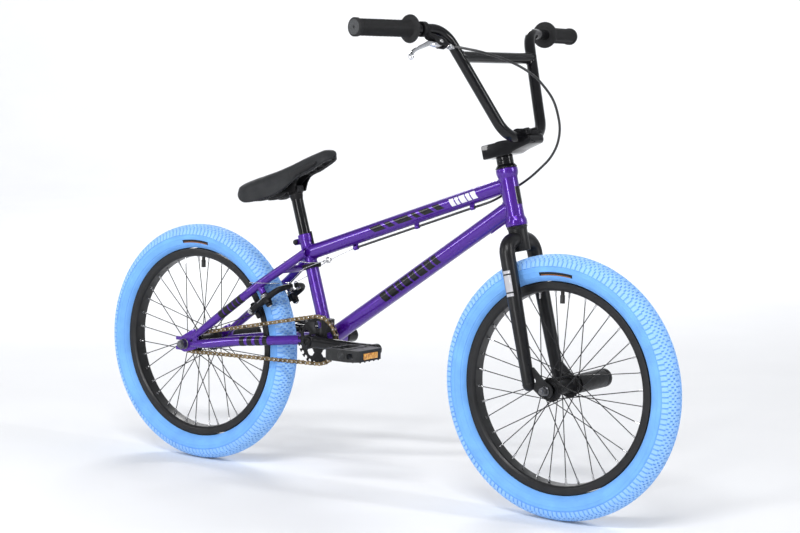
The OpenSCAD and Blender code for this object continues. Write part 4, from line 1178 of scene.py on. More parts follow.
def make_peg(word, c, y, length, bore, body):
    r = 19
    shape = turned(c, Y, [
        (bore, y), (r - 0.6, y), (r, y + 0.8), (r, y + length - 14.2), (r - 0.7, y + length - 13.8),
        (r - 0.7, y + length - 12.8), (r, y + length - 12.4), (r, y + length - 1.6), (r - 1.6, y + length),
        (r - 4.5, y + length), (r - 5.5, y + length - 1.2), (r - 5.5, y + 6), (bore, y + 6),
    ], 0.5, ring=True, steps=80)
    hole = turned(c + Y * (y + length - 8), (0, 0, 1), [(0, 0), (2.5, 0), (2.5, 40), (0, 40)], 0, steps=24)
    add(f"{word}_peg_tube", carved(shape, [hole]), body, "black_metal", [f"{word}_peg"])


# ---------- drivetrain ----------


def chain_loop():
    """Pitch points of the chain, one after the other round both toothed wheels."""
    small, big = 18.57, 50.66
    reach = BRACKET - REAR
    tilt = math.atan2(reach.z, reach.x)
    length = math.hypot(reach.x, reach.z)
    lean = math.asin((big - small) / length)
    run = length * math.cos(lean)
    spans = [run, big * (math.pi + 2 * lean), run, small * (math.pi - 2 * lean)]
    count = 2 * round(sum(spans) / 12.7 / 2)
    out = []
    for i in range(count):
        s = sum(spans) * i / count
        if s < spans[0]:
            a = math.pi / 2 + lean
            x = small * math.cos(a) + s * math.cos(lean)
            z = small * math.sin(a) + s * math.sin(lean)
        elif s < spans[0] + spans[1]:
            a = math.pi / 2 + lean - (s - spans[0]) / big
            x, z = length + big * math.cos(a), big * math.sin(a)
        elif s < sum(spans[:3]):
            a = -math.pi / 2 - lean
            t = s - spans[0] - spans[1]
            x = length + big * math.cos(a) - t * math.cos(lean)
            z = big * math.sin(a) + t * math.sin(lean)
        else:
            a = -math.pi / 2 - lean - (s - sum(spans[:3])) / small
            x, z = small * math.cos(a), small * math.sin(a)
        c, d = math.cos(tilt), math.sin(tilt)
        out.append(Vector((REAR.x + x * c - z * d, -CHAINLINE, REAR.z + x * d + z * c)))
    return out


def link_plate(a, b, y, thick, end_r, waist):
    """A chain side plate, round at both ends and narrower between."""
    d = (b - a).normalized()
    up = Y.cross(d)
    half = (b - a).length / 2
    outline = arc(
        end_r, -105, 105, 8, (half, 0),
    ) + [(0, waist)] + arc(end_r, 75, 285, 8, (-half, 0)) + [(0, -waist)]
    return extruded((a + b) / 2 + Y * y, up.cross(Y), up, outline, -thick / 2, thick / 2)


def make_chain():
    points = chain_loop()
    plates = []
    pins = []
    for i, a in enumerate(points):
        b = points[(i + 1) % len(points)]
        y = 2.7 if i % 2 else 3.9
        for side in (-1, 1):
            plates.append(link_plate(a, b, side * y, 1.0, 4.2, 3.1))
        pins.append(
            turned(a, Y, [(0, -5), (1.5, -5), (1.8, -4.7), (1.8, 4.7), (1.5, 5), (0, 5)], 0, steps=12)
        )
        pins.append(
            turned(a, Y, [(1.9, -2.1), (3.85, -2.1), (3.85, 2.1), (1.9, 2.1)], 0.3, ring=True, steps=16)
        )
    add("chain_plates", join(*plates), "frame", "chain_steel", ["chain"], bevel=0.15)
    add("chain_pins", join(*pins), "frame", "steel")


def make_crank():
    refined("sprocket_plate", "sprocket", "crank", "black_metal", 0.35)
    for word, side in SIDES.items():
        reach = -side * CRANK_L
        mid = BRACKET + Y * side * 70.5
        rows = 14
        path = []
        radii = []
        for i in range(rows + 1):
            t = i / rows
            path.append(mid + Vector((reach * t, 0, 0)))
            radii.append(
                13.6 - 3.0 * math.sin(math.pi * min(t * 1.15, 1) / 2) + 0.8 * max(0, t - 0.85) / 0.15
            )
        arm = tube(path, radii, 32, up=Y, flat=0.70)
        end = BRACKET + Vector((reach, 0, 0))
        low, high = (62, 79) if side > 0 else (-79, -62)
        boss = turned(BRACKET, Y * side, [(9.7, 47.5), (15.4, 47.5), (15.4, 79), (9.7, 79)], 1.0, ring=True)
        eye = turned(end, Y, [(6.7, low), (12.3, low), (12.3, high), (6.7, high)], 1.4, ring=True)
        softened(
            f"crank_arm_body_{word}", join(arm, boss, eye), "crank", "black_paint", 0.9, 5,
            [f"crank_arm_{word}"],
        )
        bolt = turned(
            BRACKET, Y * side, [(5, 79.1), (11, 79.1), (11, 81.4), (9.6, 83), (5.4, 83), (5, 81.5)], 0.5,
            ring=True,
        )
        pin = turned(BRACKET, Y * side, [(0, 78), (4.9, 78), (4.9, 81), (0, 81)], 0.2, steps=32)
        add(f"crank_bolt_{word}", join(bolt, pin), "crank", "black_metal")
    axles = []
    for side in (-1, 1):
        c = BRACKET + Vector((-side * CRANK_L, 0, 0))
        axles.append(turned(c, Y * side, [
            (0, 62), (6.3, 62), (6.5, 80), (8.5, 80.2), (8.5, 88), (6.5, 88.6), (6.5, 91), (8.5, 91.5),
            (8.5, 103),
            (6.5, 103.2), (6.5, 178), (0, 178),
        ], 0.4))
        axles.append(turned(c, Y * side, [(0, 61.9), (3.2, 61.9), (3.2, 63)], 0, steps=6))
    add("pedal_spindles", join(*axles), "crank", "steel", ["pedal_axles"])


PEDAL_L = 90
PEDAL_W = 80
PEDAL_T = 25


def make_pedal(word, side):
    c = BRACKET + Vector((-side * CRANK_L, 0, 0))
    inner = 104 * side
    outer = (104 + PEDAL_W) * side
    mid = (inner + outer) / 2
    body = f"pedal_{word}_body"
    x = Vector((1, 0, 0))
    z = Vector((0, 0, 1))
    half = PEDAL_L / 2
    t = PEDAL_T / 2
    plan = [
        (-half, -34), (-half + 7, -40), (half - 7, -40), (half, -34), (half, 34), (half - 7, 40),
        (-half + 7, 40), (-half, 34),
    ]
    hollow = [(-half + 8, -31), (-half + 10, -33), (half - 10, -33), (half - 8, -31), (half - 8, 31),
              (half - 10, 33),
              (-half + 10, 33), (-half + 8, 31)]
    centre = c + Y * mid
    shell = extruded(centre, x, Y, rounded(plan, 3), -t, t)
    cutters = [extruded(centre, x, Y, rounded(hollow, 2), -t - 5, t + 5)]
    # The end plates thin towards the front and rear, and are pierced on both sides of the barrel
    for s in (-1, 1):
        for q in (-1, 1):
            wedge = [
                (s * (half + 2), q * (t + 3)), (s * (half + 2), q * (t - 2.6)), (s * 14, q * (t + 0.2)),
                (s * 14, q * (t + 3)),
            ]
            cutters.append(extruded(centre, x, z, wedge, -60, 60))
        hole = rounded([(s * 13.5, -6), (s * 31, -5.2), (s * 31, 5.2), (s * 13.5, 6)], 4.4)
        cutters.append(extruded(centre, x, z, hole, -60, 60))
        recess = rounded([(-24.5, -7.2), (24.5, -7.2), (24.5, 7.2), (-24.5, 7.2)], 1.5)
        cutters.append(extruded(centre + x * s * (half + 1), Y, z, recess, -3.6, 3.6))
    cage = carved(shell, cutters)
    parts = [turned(c, Y, [(6.6, min(inner, outer) + 0.3), (
        12.4, min(inner, outer) + 0.3,
    ), (12.4, max(inner, outer) - 0.3),
                           (6.6, max(inner, outer) - 0.3)], 1.5, ring=True)]
    for y in (mid - 12, mid + 12):
        for s in (-1, 1):
            rib = [
                (s * 9, -7.5), (s * 20, -6.4), (s * (half - 7), -7.5), (s * (half - 7), 7.5), (s * 20, 6.4),
                (s * 9, 7.5),
            ]
            parts.append(extruded(c + Y * y, x, z, rib, -2.2, 2.2))
    for s in (-1, 1):
        rib = block(centre + x * s * 24, Y, z, (66, 8, 4), 1)
        parts.append(rib)
    studs = []
    for q in (-1, 1):
        for s in (-1, 1):
            for y in (-30, -15, 0, 15, 30):
                studs.append(
                    turned(
                        centre + x * s * (half - 4) + Y * y, z * q,
                        [(0, 5), (2.1, 5), (1.9, t - 1.5), (1.5, t - 0.1), (0, t)], 0.3, steps=12,
                    )
                )
            for u in (14, 27):
                for y in (-36.5, 36.5):
                    studs.append(
                        turned(
                            centre + x * s * u + Y * y, z * q,
                            [(0, 5), (2.0, 5), (1.8, t - 1.2), (1.4, t + 0.2), (0, t + 0.3)], 0.3, steps=12,
                        )
                    )
    piece = add(f"pedal_cage_{word}", cage, body, "pedal_plastic", [f"pedal_{word}"], bevel=0.7)
    add(f"pedal_ribs_{word}", join(*parts), body, "pedal_plastic", bevel=0.5)
    add(f"pedal_studs_{word}", join(*studs), body, "pedal_plastic")
    cap = turned(
        c, Y * side,
        [
            (0, abs(outer) - 3), (9.5, abs(outer) - 3), (9.5, abs(outer) + 0.6), (8, abs(outer) + 1.6),
            (0, abs(outer) + 1.9),
        ],
        0.7,
    )
    add(f"pedal_cap_{word}", cap, body, "pedal_plastic")
    lenses = []
    for s in (-1, 1):
        face = centre + x * s * (half - 1.4)
        lenses.append(block(face, Y, z, (46, 12.6, 2.6), 1.2))
        for k in range(14):
            lenses.append(block(face + x * s * 1.4 + Y * (-20.8 + 3.2 * k), Y, z, (2.2, 10, 0.8), 0.3))
    add(f"pedal_reflectors_{word}", join(*lenses), body, "pedal_plastic", look=REFLECTOR, bevel=0.25)
    return piece


# ---------- fork, stem and bars ----------

STEM_REACH = 55.2
STEM_RISE = 14
BAR_CLAMP = on_head(STEM_H + STEM_RISE, STEM_REACH)
BAR_LOW = BAR_CLAMP + Y * 65
BAR_HIGH = Vector((279, 150, 957.7))
BAR_END = Vector((238.9, 379.4, 957.1))
BAR_R = 11.1
BAR_BEND_R = 52
CROSSBAR_AT = 0.752
GRIP_L = 143
GRIP_R = 17


def make_fork():
    l = HEAD_TUBE_L
    steerer = turned(HEAD, HEAD_UP, [
        (15.4, -49), (16, -50), (19, -50), (19, -8), (19.4, -5), (21, -2), (21, -0.3), (14.25, -0.2),
        (14.25, l + 50),
        (11.8, l + 50), (11.8, -4), (15.4, -6),
    ], 0.9, ring=True)
    add("steerer_tube", steerer, "steering", "fork_paint", ["fork_steerer"])
    for word, side in SIDES.items():
        start, shoulder, foot = (
            flip(p, side) for p in ((364.5, 6, 552.3), (366.8, 49, 543), (432.8, 56, 272))
        )
        path = [start, start.lerp(shoulder, 0.2)] + bend(start, shoulder, foot, 28, 14)
        last = path[-1]
        path += [last.lerp(foot, i / 12) for i in range(1, 13)]
        n = len(path) - 1
        radii = [15.5 if i < 17 else 15.5 - 3.2 * (i - 17) / (n - 17) for i in range(n + 1)]
        leg = domed(path, radii, 40, both=False, start_on=None)
        bead = weld(start + (shoulder - start) * 0.9, start - shoulder, 15.5, STEERER_LOW)
        plug = turned(foot, path[-1] - path[-2], [(0, -3), (12.6, -3), (12.9, -1.5), (12.6, 0)], 0.6)
        add(f"fork_tube_{word}", join(leg, bead, plug), "steering", "fork_paint", [f"fork_leg_{word}"])
    refined("fork_tip_plates", "fork_dropouts", "steering", "fork_paint", 1.2)
    flash = []
    for side in (-1, 1):
        c = flip((366.8, 49, 543), side)
        d = (flip((432.8, 56, 272), side) - c).normalized()
        for low, high in ((52, 58), (61, 94), (97, 103)):
            flash.append(
                patch_on_tube(
                    c, c + d, 15.3, low, high, (0 if side > 0 else 180) - 32, (0 if side > 0 else 180) + 32,
                    lift=0.3,
                )
            )
    add("fork_bars", join(*flash), "steering", "fork_paint", look=finish_of(
        "graphic_grey", (0.42, 0.42, 0.45), 0.4, coat=0.5, vary=0.05))


def stem_point(x, y, z):
    return on_head(STEM_H + z, x, y)


def make_stem():
    grip_r = BAR_R + 0.1
    profile = [
        (-34, -14), (28, -14), (44, -9), (78, -3), (82, 2), (82, 13.6), (30, 13.6), (20, 14), (-34, 14),
    ]
    side_view = extruded(on_head(STEM_H), HEAD_FWD, HEAD_UP, rounded(profile, 4), -25, 25)
    cutters = [
        turned(BAR_CLAMP, Y, [(0, -40), (grip_r, -40), (grip_r, 40), (0, 40)], 0),
        turned(HEAD, HEAD_UP, [(0, 100), (14.4, 100), (14.4, 220), (0, 220)], 0),
        extruded(
            stem_point(-22, 0, 0), HEAD_FWD, Y, [(-16, -1.2), (16, -1.2), (16, 1.2), (-16, 1.2)], -20, 20,
        ),
    ]
    for s in (-1, 1):
        plan = [
            (-40, s * 30), (-40, s * 15.5), (-31, s * 16), (-6, s * 20.5), (6, s * 21), (32, s * 25.2),
            (34, s * 30),
        ]
        cutters.append(extruded(on_head(STEM_H), HEAD_FWD, Y, plan, -30, 30))
        scoop = rounded([(4, s * 28), (10, s * 18.6), (26, s * 20.6), (30, s * 28)], 4)
        cutters.append(extruded(stem_point(0, 0, -7), HEAD_FWD, Y, scoop, -3.2, 3.2))
    for i in range(9):
        y = -20 + 5 * i
        groove = [(83.2, -4), (81.2, -4), (81.2, 14), (83.2, 14)]
        cutters.append(extruded(on_head(STEM_H, 0, y), HEAD_FWD, HEAD_UP, groove, -1, 1))
    add("stem_block", carved(side_view, cutters), "steering", "black_paint", ["stem_body"], bevel=0.9)
    cap = [(30, 15), (30, 22), (40, 24), (44, 28.5)] + [
        (STEM_REACH + p[0], STEM_RISE + p[1]) for p in arc(17, 118, 62, 8)
    ] + [(67, 28.5), (71, 24), (82, 22), (82, 15)]
    cap_cuts = [turned(BAR_CLAMP, Y, [(0, -40), (grip_r, -40), (grip_r, 40), (0, 40)], 0)]
    for q in (-17, 17):
        for y in (-15, 15):
            cap_cuts.append(
                turned(
                    stem_point(STEM_REACH + q, y, 0), HEAD_UP, [(0, 23.2), (6.6, 23.2), (6.6, 50), (0, 50)],
                    0, steps=32,
                )
            )
    for i in range(9):
        y = -20 + 5 * i
        for x in (29.6, 82.4):
            cap_cuts.append(
                extruded(
                    stem_point(x, y, 18.5), HEAD_FWD, HEAD_UP, [(-1.4, -5), (1.4, -5), (1.4, 5), (-1.4, 5)],
                    -1, 1,
                )
            )
    shape = extruded(on_head(STEM_H), HEAD_FWD, HEAD_UP, cap, -25, 25)
    add("stem_top_cap", carved(shape, cap_cuts), "steering", "black_paint", ["stem_cap"], bevel=0.8)
    bolts = []
    for q in (-17, 17):
        for y in (-15, 15):
            bolts.append(socket_bolt(stem_point(STEM_REACH + q, y, 23.2), HEAD_UP, 6, 5.6, 3))
    for z in (-7, 7):
        bolts.append(socket_bolt(stem_point(-25, -15.8, z), -Y, 5, 4.2, 2.5))
        bolts.append(socket_bolt(stem_point(-25, 15.8, z), Y, 5, 4.2, 2.5))
    add("stem_screws", join(*bolts), "steering", "black_metal", ["stem_bolts"])
    top = HEAD_TUBE_L
    cover = turned(
        HEAD, HEAD_UP,
        [(14.4, top + 0.3), (22, top + 0.3), (22.1, top + 1.6), (18.2, top + 7.2), (14.4, top + 7.2)], 0.7,
        ring=True,
    )
    spacers = [
        turned(HEAD, HEAD_UP, [(14.4, a), (17, a), (17, b), (14.4, b)], 0.5, ring=True)
        for a, b in ((top + 7.4, top + 15.5), (top + 15.6, STEM_H - 14.1))
    ]
    cap_top = turned(
        HEAD, HEAD_UP,
        [(3, top + 50.1), (14, top + 50.1), (14, top + 53.6), (12, top + 55), (4, top + 55), (4, top + 53)],
        0.6, ring=True,
    )
    screw = socket_bolt(on_head(top + 51), HEAD_UP, 3.9, 3, 2.2)
    add(
        "headset_rings", join(cover, *spacers, cap_top, screw), "steering", "black_paint",
        ["headset_spacer"],
    )


def socket_bolt(foot, axis, radius, height, key):
    """A round bolt head with a hexagon socket."""
    axis = Vector(axis).normalized()
    head = turned(foot, axis, [(key * 0.95, 0), (radius, 0), (
        radius, height - 0.7,
    ), (radius - 0.7, height), (key + 0.7, height),
                               (key, height - 0.6), (key * 0.95, 1.2)], 0.3, ring=True, steps=30)
    floor = turned(foot, axis, [(0, 0), (key, 0), (key, 1.3), (0, 1.3)], 0, steps=6)
    return join(head, floor)


def make_bars():
    half = bend(BAR_CLAMP, BAR_LOW, BAR_HIGH, BAR_BEND_R, 14)
    half += [half[-1].lerp(BAR_HIGH, 0.33), half[-1].lerp(BAR_HIGH, 0.66)]
    upper = bend(BAR_LOW, BAR_HIGH, BAR_END, BAR_BEND_R, 14)
    half = half[:15] + [half[14].lerp(upper[0], k / 4) for k in (1, 2, 3)] + upper + [BAR_END]
    path = [flip(p, -1) for p in half[::-1]] + half
    join_at = BAR_LOW.lerp(BAR_HIGH, CROSSBAR_AT)
    risers = {s: (flip(BAR_LOW, s), flip(BAR_HIGH, s), BAR_R) for s in (-1, 1)}
    cross = tube([flip(join_at, -1), join_at], BAR_R, 40, start_on=risers[-1], end_on=risers[1])
    beads = [
        weld(Vector((join_at.x, 0, join_at.z)), Y * s, BAR_R, risers[s], True, 1.7, 36) for s in (-1, 1)
    ]
    add("bar_tube", join(tube(path, BAR_R, 40), cross, *beads), "steering", "black_paint", ["handlebar"])


def grip_shape(side):
    """A rubber grip: rows of small mushroom ribs between two plain collars, and a flange at the inner end."""
    out = flip((BAR_END - BAR_HIGH).normalized(), side)
    inner = flip(BAR_END, side) - out * GRIP_L
    x = square_to(out)
    y = out.cross(x)
    rows = 190
    steps = 112
    length = GRIP_L + 2.5
    points = []
    for i in range(rows + 1):
        h = length * i / rows
        for j in range(steps):
            a = 2 * math.pi * j / steps
            if 7 < h < length - 9:
                wave = math.cos(28 * a + math.pi * round(h / 4.6)) * math.cos(math.pi * h / 4.6 * 2)
                window = 1 if not 0.6 < abs((a + 0.5) % math.pi - 1.57) < 0.75 else 0.2
                r = GRIP_R - 1.5 + 1.0 * max(-0.3, min(wave * 2.2, 1)) * window
                r = min(r, GRIP_R)
            elif h >= length - 9:
                e = (h - (length - 9)) / 9
                r = GRIP_R + (0.9 if 0.14 < e < 0.9 else 0.0) - (2.5 * max(0, e - 0.9) / 0.1)
            else:
                r = GRIP_R - 0.4
            points.append(inner + out * h + r * (x * math.cos(a) + y * math.sin(a)))
    faces = [
        (i * steps + j, (i + 1) * steps + j, (i + 1) * steps + (j + 1) % steps, i * steps + (j + 1) % steps)
        for i in range(rows) for j in range(steps)
    ]
    faces += [tuple(range(steps))[::-1], tuple(range(rows * steps, (rows + 1) * steps))]
    flange = turned(
        inner, out, [(15, 0), (27, 0), (27.5, 1.4), (26.8, 3.4), (22, 4.6), (17.2, 6.5), (15, 6.5)], 1.0,
        ring=True, steps=96,
    )
    return join((points, faces), flange), inner, out, length


def make_grips():
    for word, side in SIDES.items():
        shape, inner, out, length = grip_shape(side)
        add(f"grip_{word}", shape, "steering", "grip_rubber", ["grips"] if side < 0 else (), sharp=50)
        disc = turned(
            inner, out,
            [
                (2.1, length - 2), (14.4, length - 2), (14.6, length + 0.1), (3.2, length + 0.35),
                (2.1, length - 0.6),
            ],
            0.5, ring=True,
        )
        hole = turned(
            inner, out, [(0, length - 2.6), (2.2, length - 2.6), (2.2, length - 1.8), (0, length - 1.8)], 0,
            steps=24,
        )
        add(f"grip_end_{word}", join(disc, hole), "steering", "grip_rubber", look=GRIP_END)


LEVER_AT = joint_at("lever_pull")
LEVER_OUT = Vector((BAR_END.x - BAR_HIGH.x, BAR_HIGH.y - BAR_END.y, 0)).normalized()
LEVER_AXIS = -joint_axis("lever_pull")
LEVER_AWAY = LEVER_AXIS.cross(LEVER_OUT)


def lever_point(x, y, z=0.0):
    return LEVER_AT + LEVER_OUT * x + LEVER_AWAY * y + LEVER_AXIS * z


def make_brake_lever():
    points = [
        (-4, 0), (4, 1.5), (14, 2.6), (26, 0.5), (40, 5), (54, 9.6), (68, 14.6), (80, 21), (87.5, 28),
        (91.5, 33.5),
    ]
    path = smooth_path([lever_point(*p) for p in points], 5)
    n = len(path) - 1
    radii = []
    for i in range(n + 1):
        t = i / n
        wide = 6.0 - 2.2 * math.sin(math.pi / 2 * min(1, max(0, (t - 0.2) / 0.5)))
        radii.append(wide + 2.1 * math.exp(-((t - 0.95) / 0.07) ** 2))
    blade = domed(path, radii, 28, up=LEVER_AXIS, flat=0.95)
    eye = turned(LEVER_AT, LEVER_AXIS, [(2.6, -3), (6, -3), (6, 3), (2.6, 3)], 0.5, ring=True, steps=40)
    softened("lever_blade", blade, "lever", "lever_alloy", 0.8, 6, ["brake_lever"])
    add("lever_eye", eye, "lever", "lever_alloy")


def make_lever_bracket():
    clamp_at = lever_point(20, -32)
    bar_dir = (flip(BAR_END, -1) - flip(BAR_HIGH, -1)).normalized()
    bar_from = flip(BAR_HIGH, -1)
    axis_at = bar_from + bar_dir * (clamp_at - bar_from).dot(bar_dir)
    clamp = turned(axis_at, bar_dir, [(11.2, 0), (15, 0), (15, 12), (11.2, 12)], 1.2, ring=True)
    neck = tube(smooth_path(
        [lever_point(22, -23), lever_point(12, -16), lever_point(-2, -11), lever_point(-14, -4)], 5,
    ),
                [4.6 + 0.05 * i for i in range(16)], 20, up=LEVER_AXIS, flat=1.5)
    nose = tube([lever_point(-11, 1.5), lever_point(-17.5, 4.2)], [7.2, 6.4], 24, up=LEVER_AXIS)
    outline = [
        (20, -22), (8, -15), (-8, -9), (-17, -2), (-18, 9), (-8, 8.5), (2, 7), (8, 3), (12, -6), (24, -16),
    ]
    sides = [
        extruded(
            lever_point(0, 0, s * 5.6), LEVER_OUT, LEVER_AWAY, rounded(outline, 4), -1.7, 1.7,
        ) for s in (-1, 1)
    ]
    cheeks = [
        turned(
            lever_point(0, 0, s * 3.7), LEVER_AXIS * s,
            [(2.6, 0), (7.4, 0), (7.4, 3.6), (6.4, 4.4), (2.6, 4.4)], 0.7, ring=True, steps=40,
        )
        for s in (-1, 1)
    ]
    softened("bracket_arm", join(neck, nose, *sides), "steering", "black_metal", 0.7, 2, ["lever_bracket"])
    add("bracket_clamp", join(clamp, *cheeks), "steering", "black_metal")
    screws = join(
        socket_bolt(lever_point(0, 0, 7.9), LEVER_AXIS, 4.2, 2.4, 2),
        turned(LEVER_AT, LEVER_AXIS, [(0, -8.1), (2.5, -8.1), (2.5, 8), (0, 8)], 0.2, steps=32),
        turned(lever_point(0, 0, -8.1), -LEVER_AXIS, [(0, 0), (3.9, 0), (3.4, 1.9), (0, 2)], 0.4, steps=32),
    )
    add("lever_pivot_screw", screws, "steering", "steel")
    clamp_screw = socket_bolt(
        axis_at + bar_dir * 6 + LEVER_AXIS * 2 + LEVER_AWAY.cross(bar_dir).normalized() * 13, LEVER_AXIS,
        3.6, 4, 2,
    )
    add("bracket_screw", clamp_screw, "steering", "steel")
    tail = (lever_point(-33, 8.4) - lever_point(-17, 4.4)).normalized()
    foot = lever_point(-18.5, 4.8)
    knurl = []
    steps = 48
    profile = [(2.6, 0), (3.6, 0), (3.6, 3), (5.6, 3.4), (5.6, 9), (4.6, 10.4), (3.9, 17), (2.6, 17)]
    points, faces = turned(foot, tail, profile, 0.3, ring=True, steps=steps)
    centre_line = foot
    for i, p in enumerate(points):
        h = (p - centre_line).dot(tail)
        radial = p - centre_line - tail * h
        if 3.6 < h < 9 and radial.length > 5 and i % 2:
            p -= radial.normalized() * 0.5
        knurl.append(p)
    add("barrel_adjuster", (knurl, faces), "steering", "steel")


HOUSING_ROUTE = [
    (306, -150, 926), (328, -141, 922), (350, -128, 917), (378, -100, 906), (403, -72, 891),
    (419, -42, 872), (429, -18, 850), (437, 0, 826), (441, 12, 798), (440, 22, 769),
    (430, 30, 739), (411, 36, 712), (387, 38, 690), (364, 38, 671), (340, 35, 654),
    (317, 26, 638), (296, 12, 623), (276, 3, 613.6), (262, 0, 608.7),
]
HOUSING_ENDS = (Vector((261.5, 0, 608.5)), Vector((-45, 0, 503.1)))
YOKE = Vector((-115, 0, 472))


def make_cables():
    loop = new_object("housing_loop", tube(smooth_path(HOUSING_ROUTE, 8), 2.5, 20))
    dress(loop, "steering", "cable_jacket", ["brake_housing_loop"], ride=False)
    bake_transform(loop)
    a, b = HOUSING_ENDS
    d = (b - a).normalized()
    add(
        "rear_housing_line", tube([a, a.lerp(b, 0.3), a.lerp(b, 0.7), b], 2.5, 20), "frame", "cable_jacket",
        ["rear_brake_housing"],
    )
    ferrules = [
        turned(b, d, [(1.4, -9), (3.2, -9), (3.2, 1), (2.4, 2.5), (1.4, 2.5)], 0.4, ring=True, steps=24)
    ]
    stop = turned(b - d * 5, d, [(3.2, -6), (5, -5), (5, 5), (3.2, 6)], 0.6, ring=True, steps=32)
    up = Vector((-d.z, 0, d.x))
    if up.z < 0:
        up = -up
    foot = block(b - d * 5 + up * 5.5, d, Y, (13, 5, 5), 2.2)
    add("housing_ferrules", join(*ferrules), "frame", "steel")
    add("housing_stop", join(stop, foot), "frame", "frame_paint")


# ---------- rear brake ----------

ARM_K = 35
PAD_S = 198
ANCHOR_S = 297
ANCHOR_Y = 12
WIRE_TAIL = (Vector((-172, -24, 467)), Vector((-210.2, -34, 466)))
STRADDLE_TAIL = (Vector((-222, -26, 417)), Vector((-225, -54, 418.4)), Vector((-280, -63, 416.2)))


def coil(centre, axis, radius, wire, low, high, turns):
    """A coil spring with flat ends."""
    axis = Vector(axis).normalized()
    x = square_to(axis)
    y = axis.cross(x)
    steps = int(turns * 24)
    path = []
    for i in range(steps + 1):
        t = i / steps
        a = 2 * math.pi * turns * t
        rise = low + (high - low) * (3 * t * t - 2 * t ** 3)
        path.append(centre + axis * rise + radius * (x * math.cos(a) + y * math.sin(a)))
    return tube(path, wire, 10)


def make_brake_arm(word, side):
    """A forged arm round a pivot boss, with its pad on a stud, its spring and its cable anchor."""
    def at(s, y, k=ARM_K):
        return brake_point(s, side * y, k)

    body = f"brake_{word}"
    centre = at(250, 45, 0)
    low_arm = smooth_path([at(193, 43.5), at(200, 44), at(225, 46.2), at(250, 45)], 6)
    high_arm = smooth_path(
        [at(250, 45), at(270, 46), at(284, 42.5), at(293, 31), at(297, 12), at(297.5, 8)], 6,
    )
    forging = join(
        tube(low_arm, [6.8 + 0.06 * i for i in range(len(low_arm))], 24, up=STAY_DOWN, flat=1.0),
        tube(high_arm, [7.6 - 0.05 * i for i in range(len(high_arm))], 24, up=STAY_DOWN, flat=0.95),
        turned(centre, STAY_DOWN, [(0, 23.2), (8.4, 23.2), (8.4, 46.8), (0, 46.8)], 0.8, steps=48),
        turned(at(PAD_S, 41, ARM_K), Y * side, [(0, 0), (7.4, 0), (7.4, 6), (0, 6)], 0.8, steps=40),
    )
    softened(f"brake_forging_{word}", forging, body, "black_metal", 0.8, 3, [f"brake_arm_{word}"])
    stud = join(
        threaded(at(PAD_S, 30, ARM_K), Y * side, 0, 25, 3, 0.8, 24),
        turned(
            at(PAD_S, 47.2, ARM_K), Y * side, [(3, 0), (6.6, 0), (6.6, 1.2), (3, 1.2)], 0.2, ring=True,
            steps=32,
        ),
        extruded(
            at(PAD_S, 50, ARM_K), STAY, STAY_DOWN, hexagon(10), *((-2.4, 1.6) if side > 0 else (-1.6, 2.4)),
        ),
        turned(
            at(PAD_S, 37, ARM_K), Y * side, [(3, 0), (6.2, 0), (5, 2.6), (3, 2.6)], 0.3, ring=True,
            steps=32,
        ),
    )
    add(f"brake_pad_stud_{word}", stud, body, "steel")
    outline = rounded([(-18.4, -5.2), (18.4, -5.2), (18.4, 5.2), (-18.4, 5.2)], 3.4)
    rubber = extruded(at(PAD_S, 26.6), STAY_DOWN, STAY, outline, *sorted((-5.6 * side, 1.6 * side)))
    cuts = [
        block(at(PAD_S, 20.6) + STAY_DOWN * x, STAY_DOWN, STAY, (1.6, 14, 3.2)) for x in (-11, -4, 4, 11)
    ]
    add(f"brake_pad_{word}", carved(rubber, cuts), body, "grip_rubber", look=PAD_RUBBER, bevel=0.5)
    holder_outline = rounded([(-18.9, -5.6), (18.9, -5.6), (18.9, 5.6), (-18.9, 5.6)], 3.6)
    holder = extruded(at(PAD_S, 30.4), STAY_DOWN, STAY, holder_outline, *sorted((-1.9 * side, 2.2 * side)))
    add(f"brake_pad_holder_{word}", holder, body, "black_metal", bevel=0.6)
    spring = join(
        coil(centre, STAY_DOWN, 9.6, 0.75, 25.5, 31.5, 3.5),
        tube([at(250, 54.6, 31.4), at(240, 54.2, 31.5), at(222, 51.6, 32)], 0.75, 10),
    )
    add(f"brake_spring_{word}", spring, body, "steel")
    anchor = at(ANCHOR_S, ANCHOR_Y, 0)
    bolt = join(
        extruded(anchor + STAY_DOWN * (ARM_K + 5.6), STAY, -Y, hexagon(9), -0.4, 3.6),
        turned(
            anchor, STAY_DOWN, [(0, ARM_K - 6.5), (5.2, ARM_K - 6.5), (5.2, ARM_K - 5.2), (0, ARM_K - 5.2)],
            0.3, steps=32,
        ),
        turned(
            anchor, STAY_DOWN, [(0, ARM_K - 9.4), (3.6, ARM_K - 9.4), (4, ARM_K - 6.6), (0, ARM_K - 6.6)],
            0.4, steps=32,
        ),
    )
    add(f"cable_anchor_{word}", bolt, body, "steel")


def wire(points, radius=0.8):
    """A cable of twisted strands."""
    path = smooth_path(points, 14)
    out = []
    strands = 6
    for k in range(strands):
        strand = []
        turned_by = 0.0
        for i, (x, y) in enumerate(frames_along(path)):
            if i:
                turned_by += (path[i] - path[i - 1]).length / 9.0 * 2 * math.pi
            a = turned_by + 2 * math.pi * k / strands
            strand.append(path[i] + (x * math.cos(a) + y * math.sin(a)) * radius * 0.62)
        out.append(tube(strand, radius * 0.42, 6))
    return join(*out)


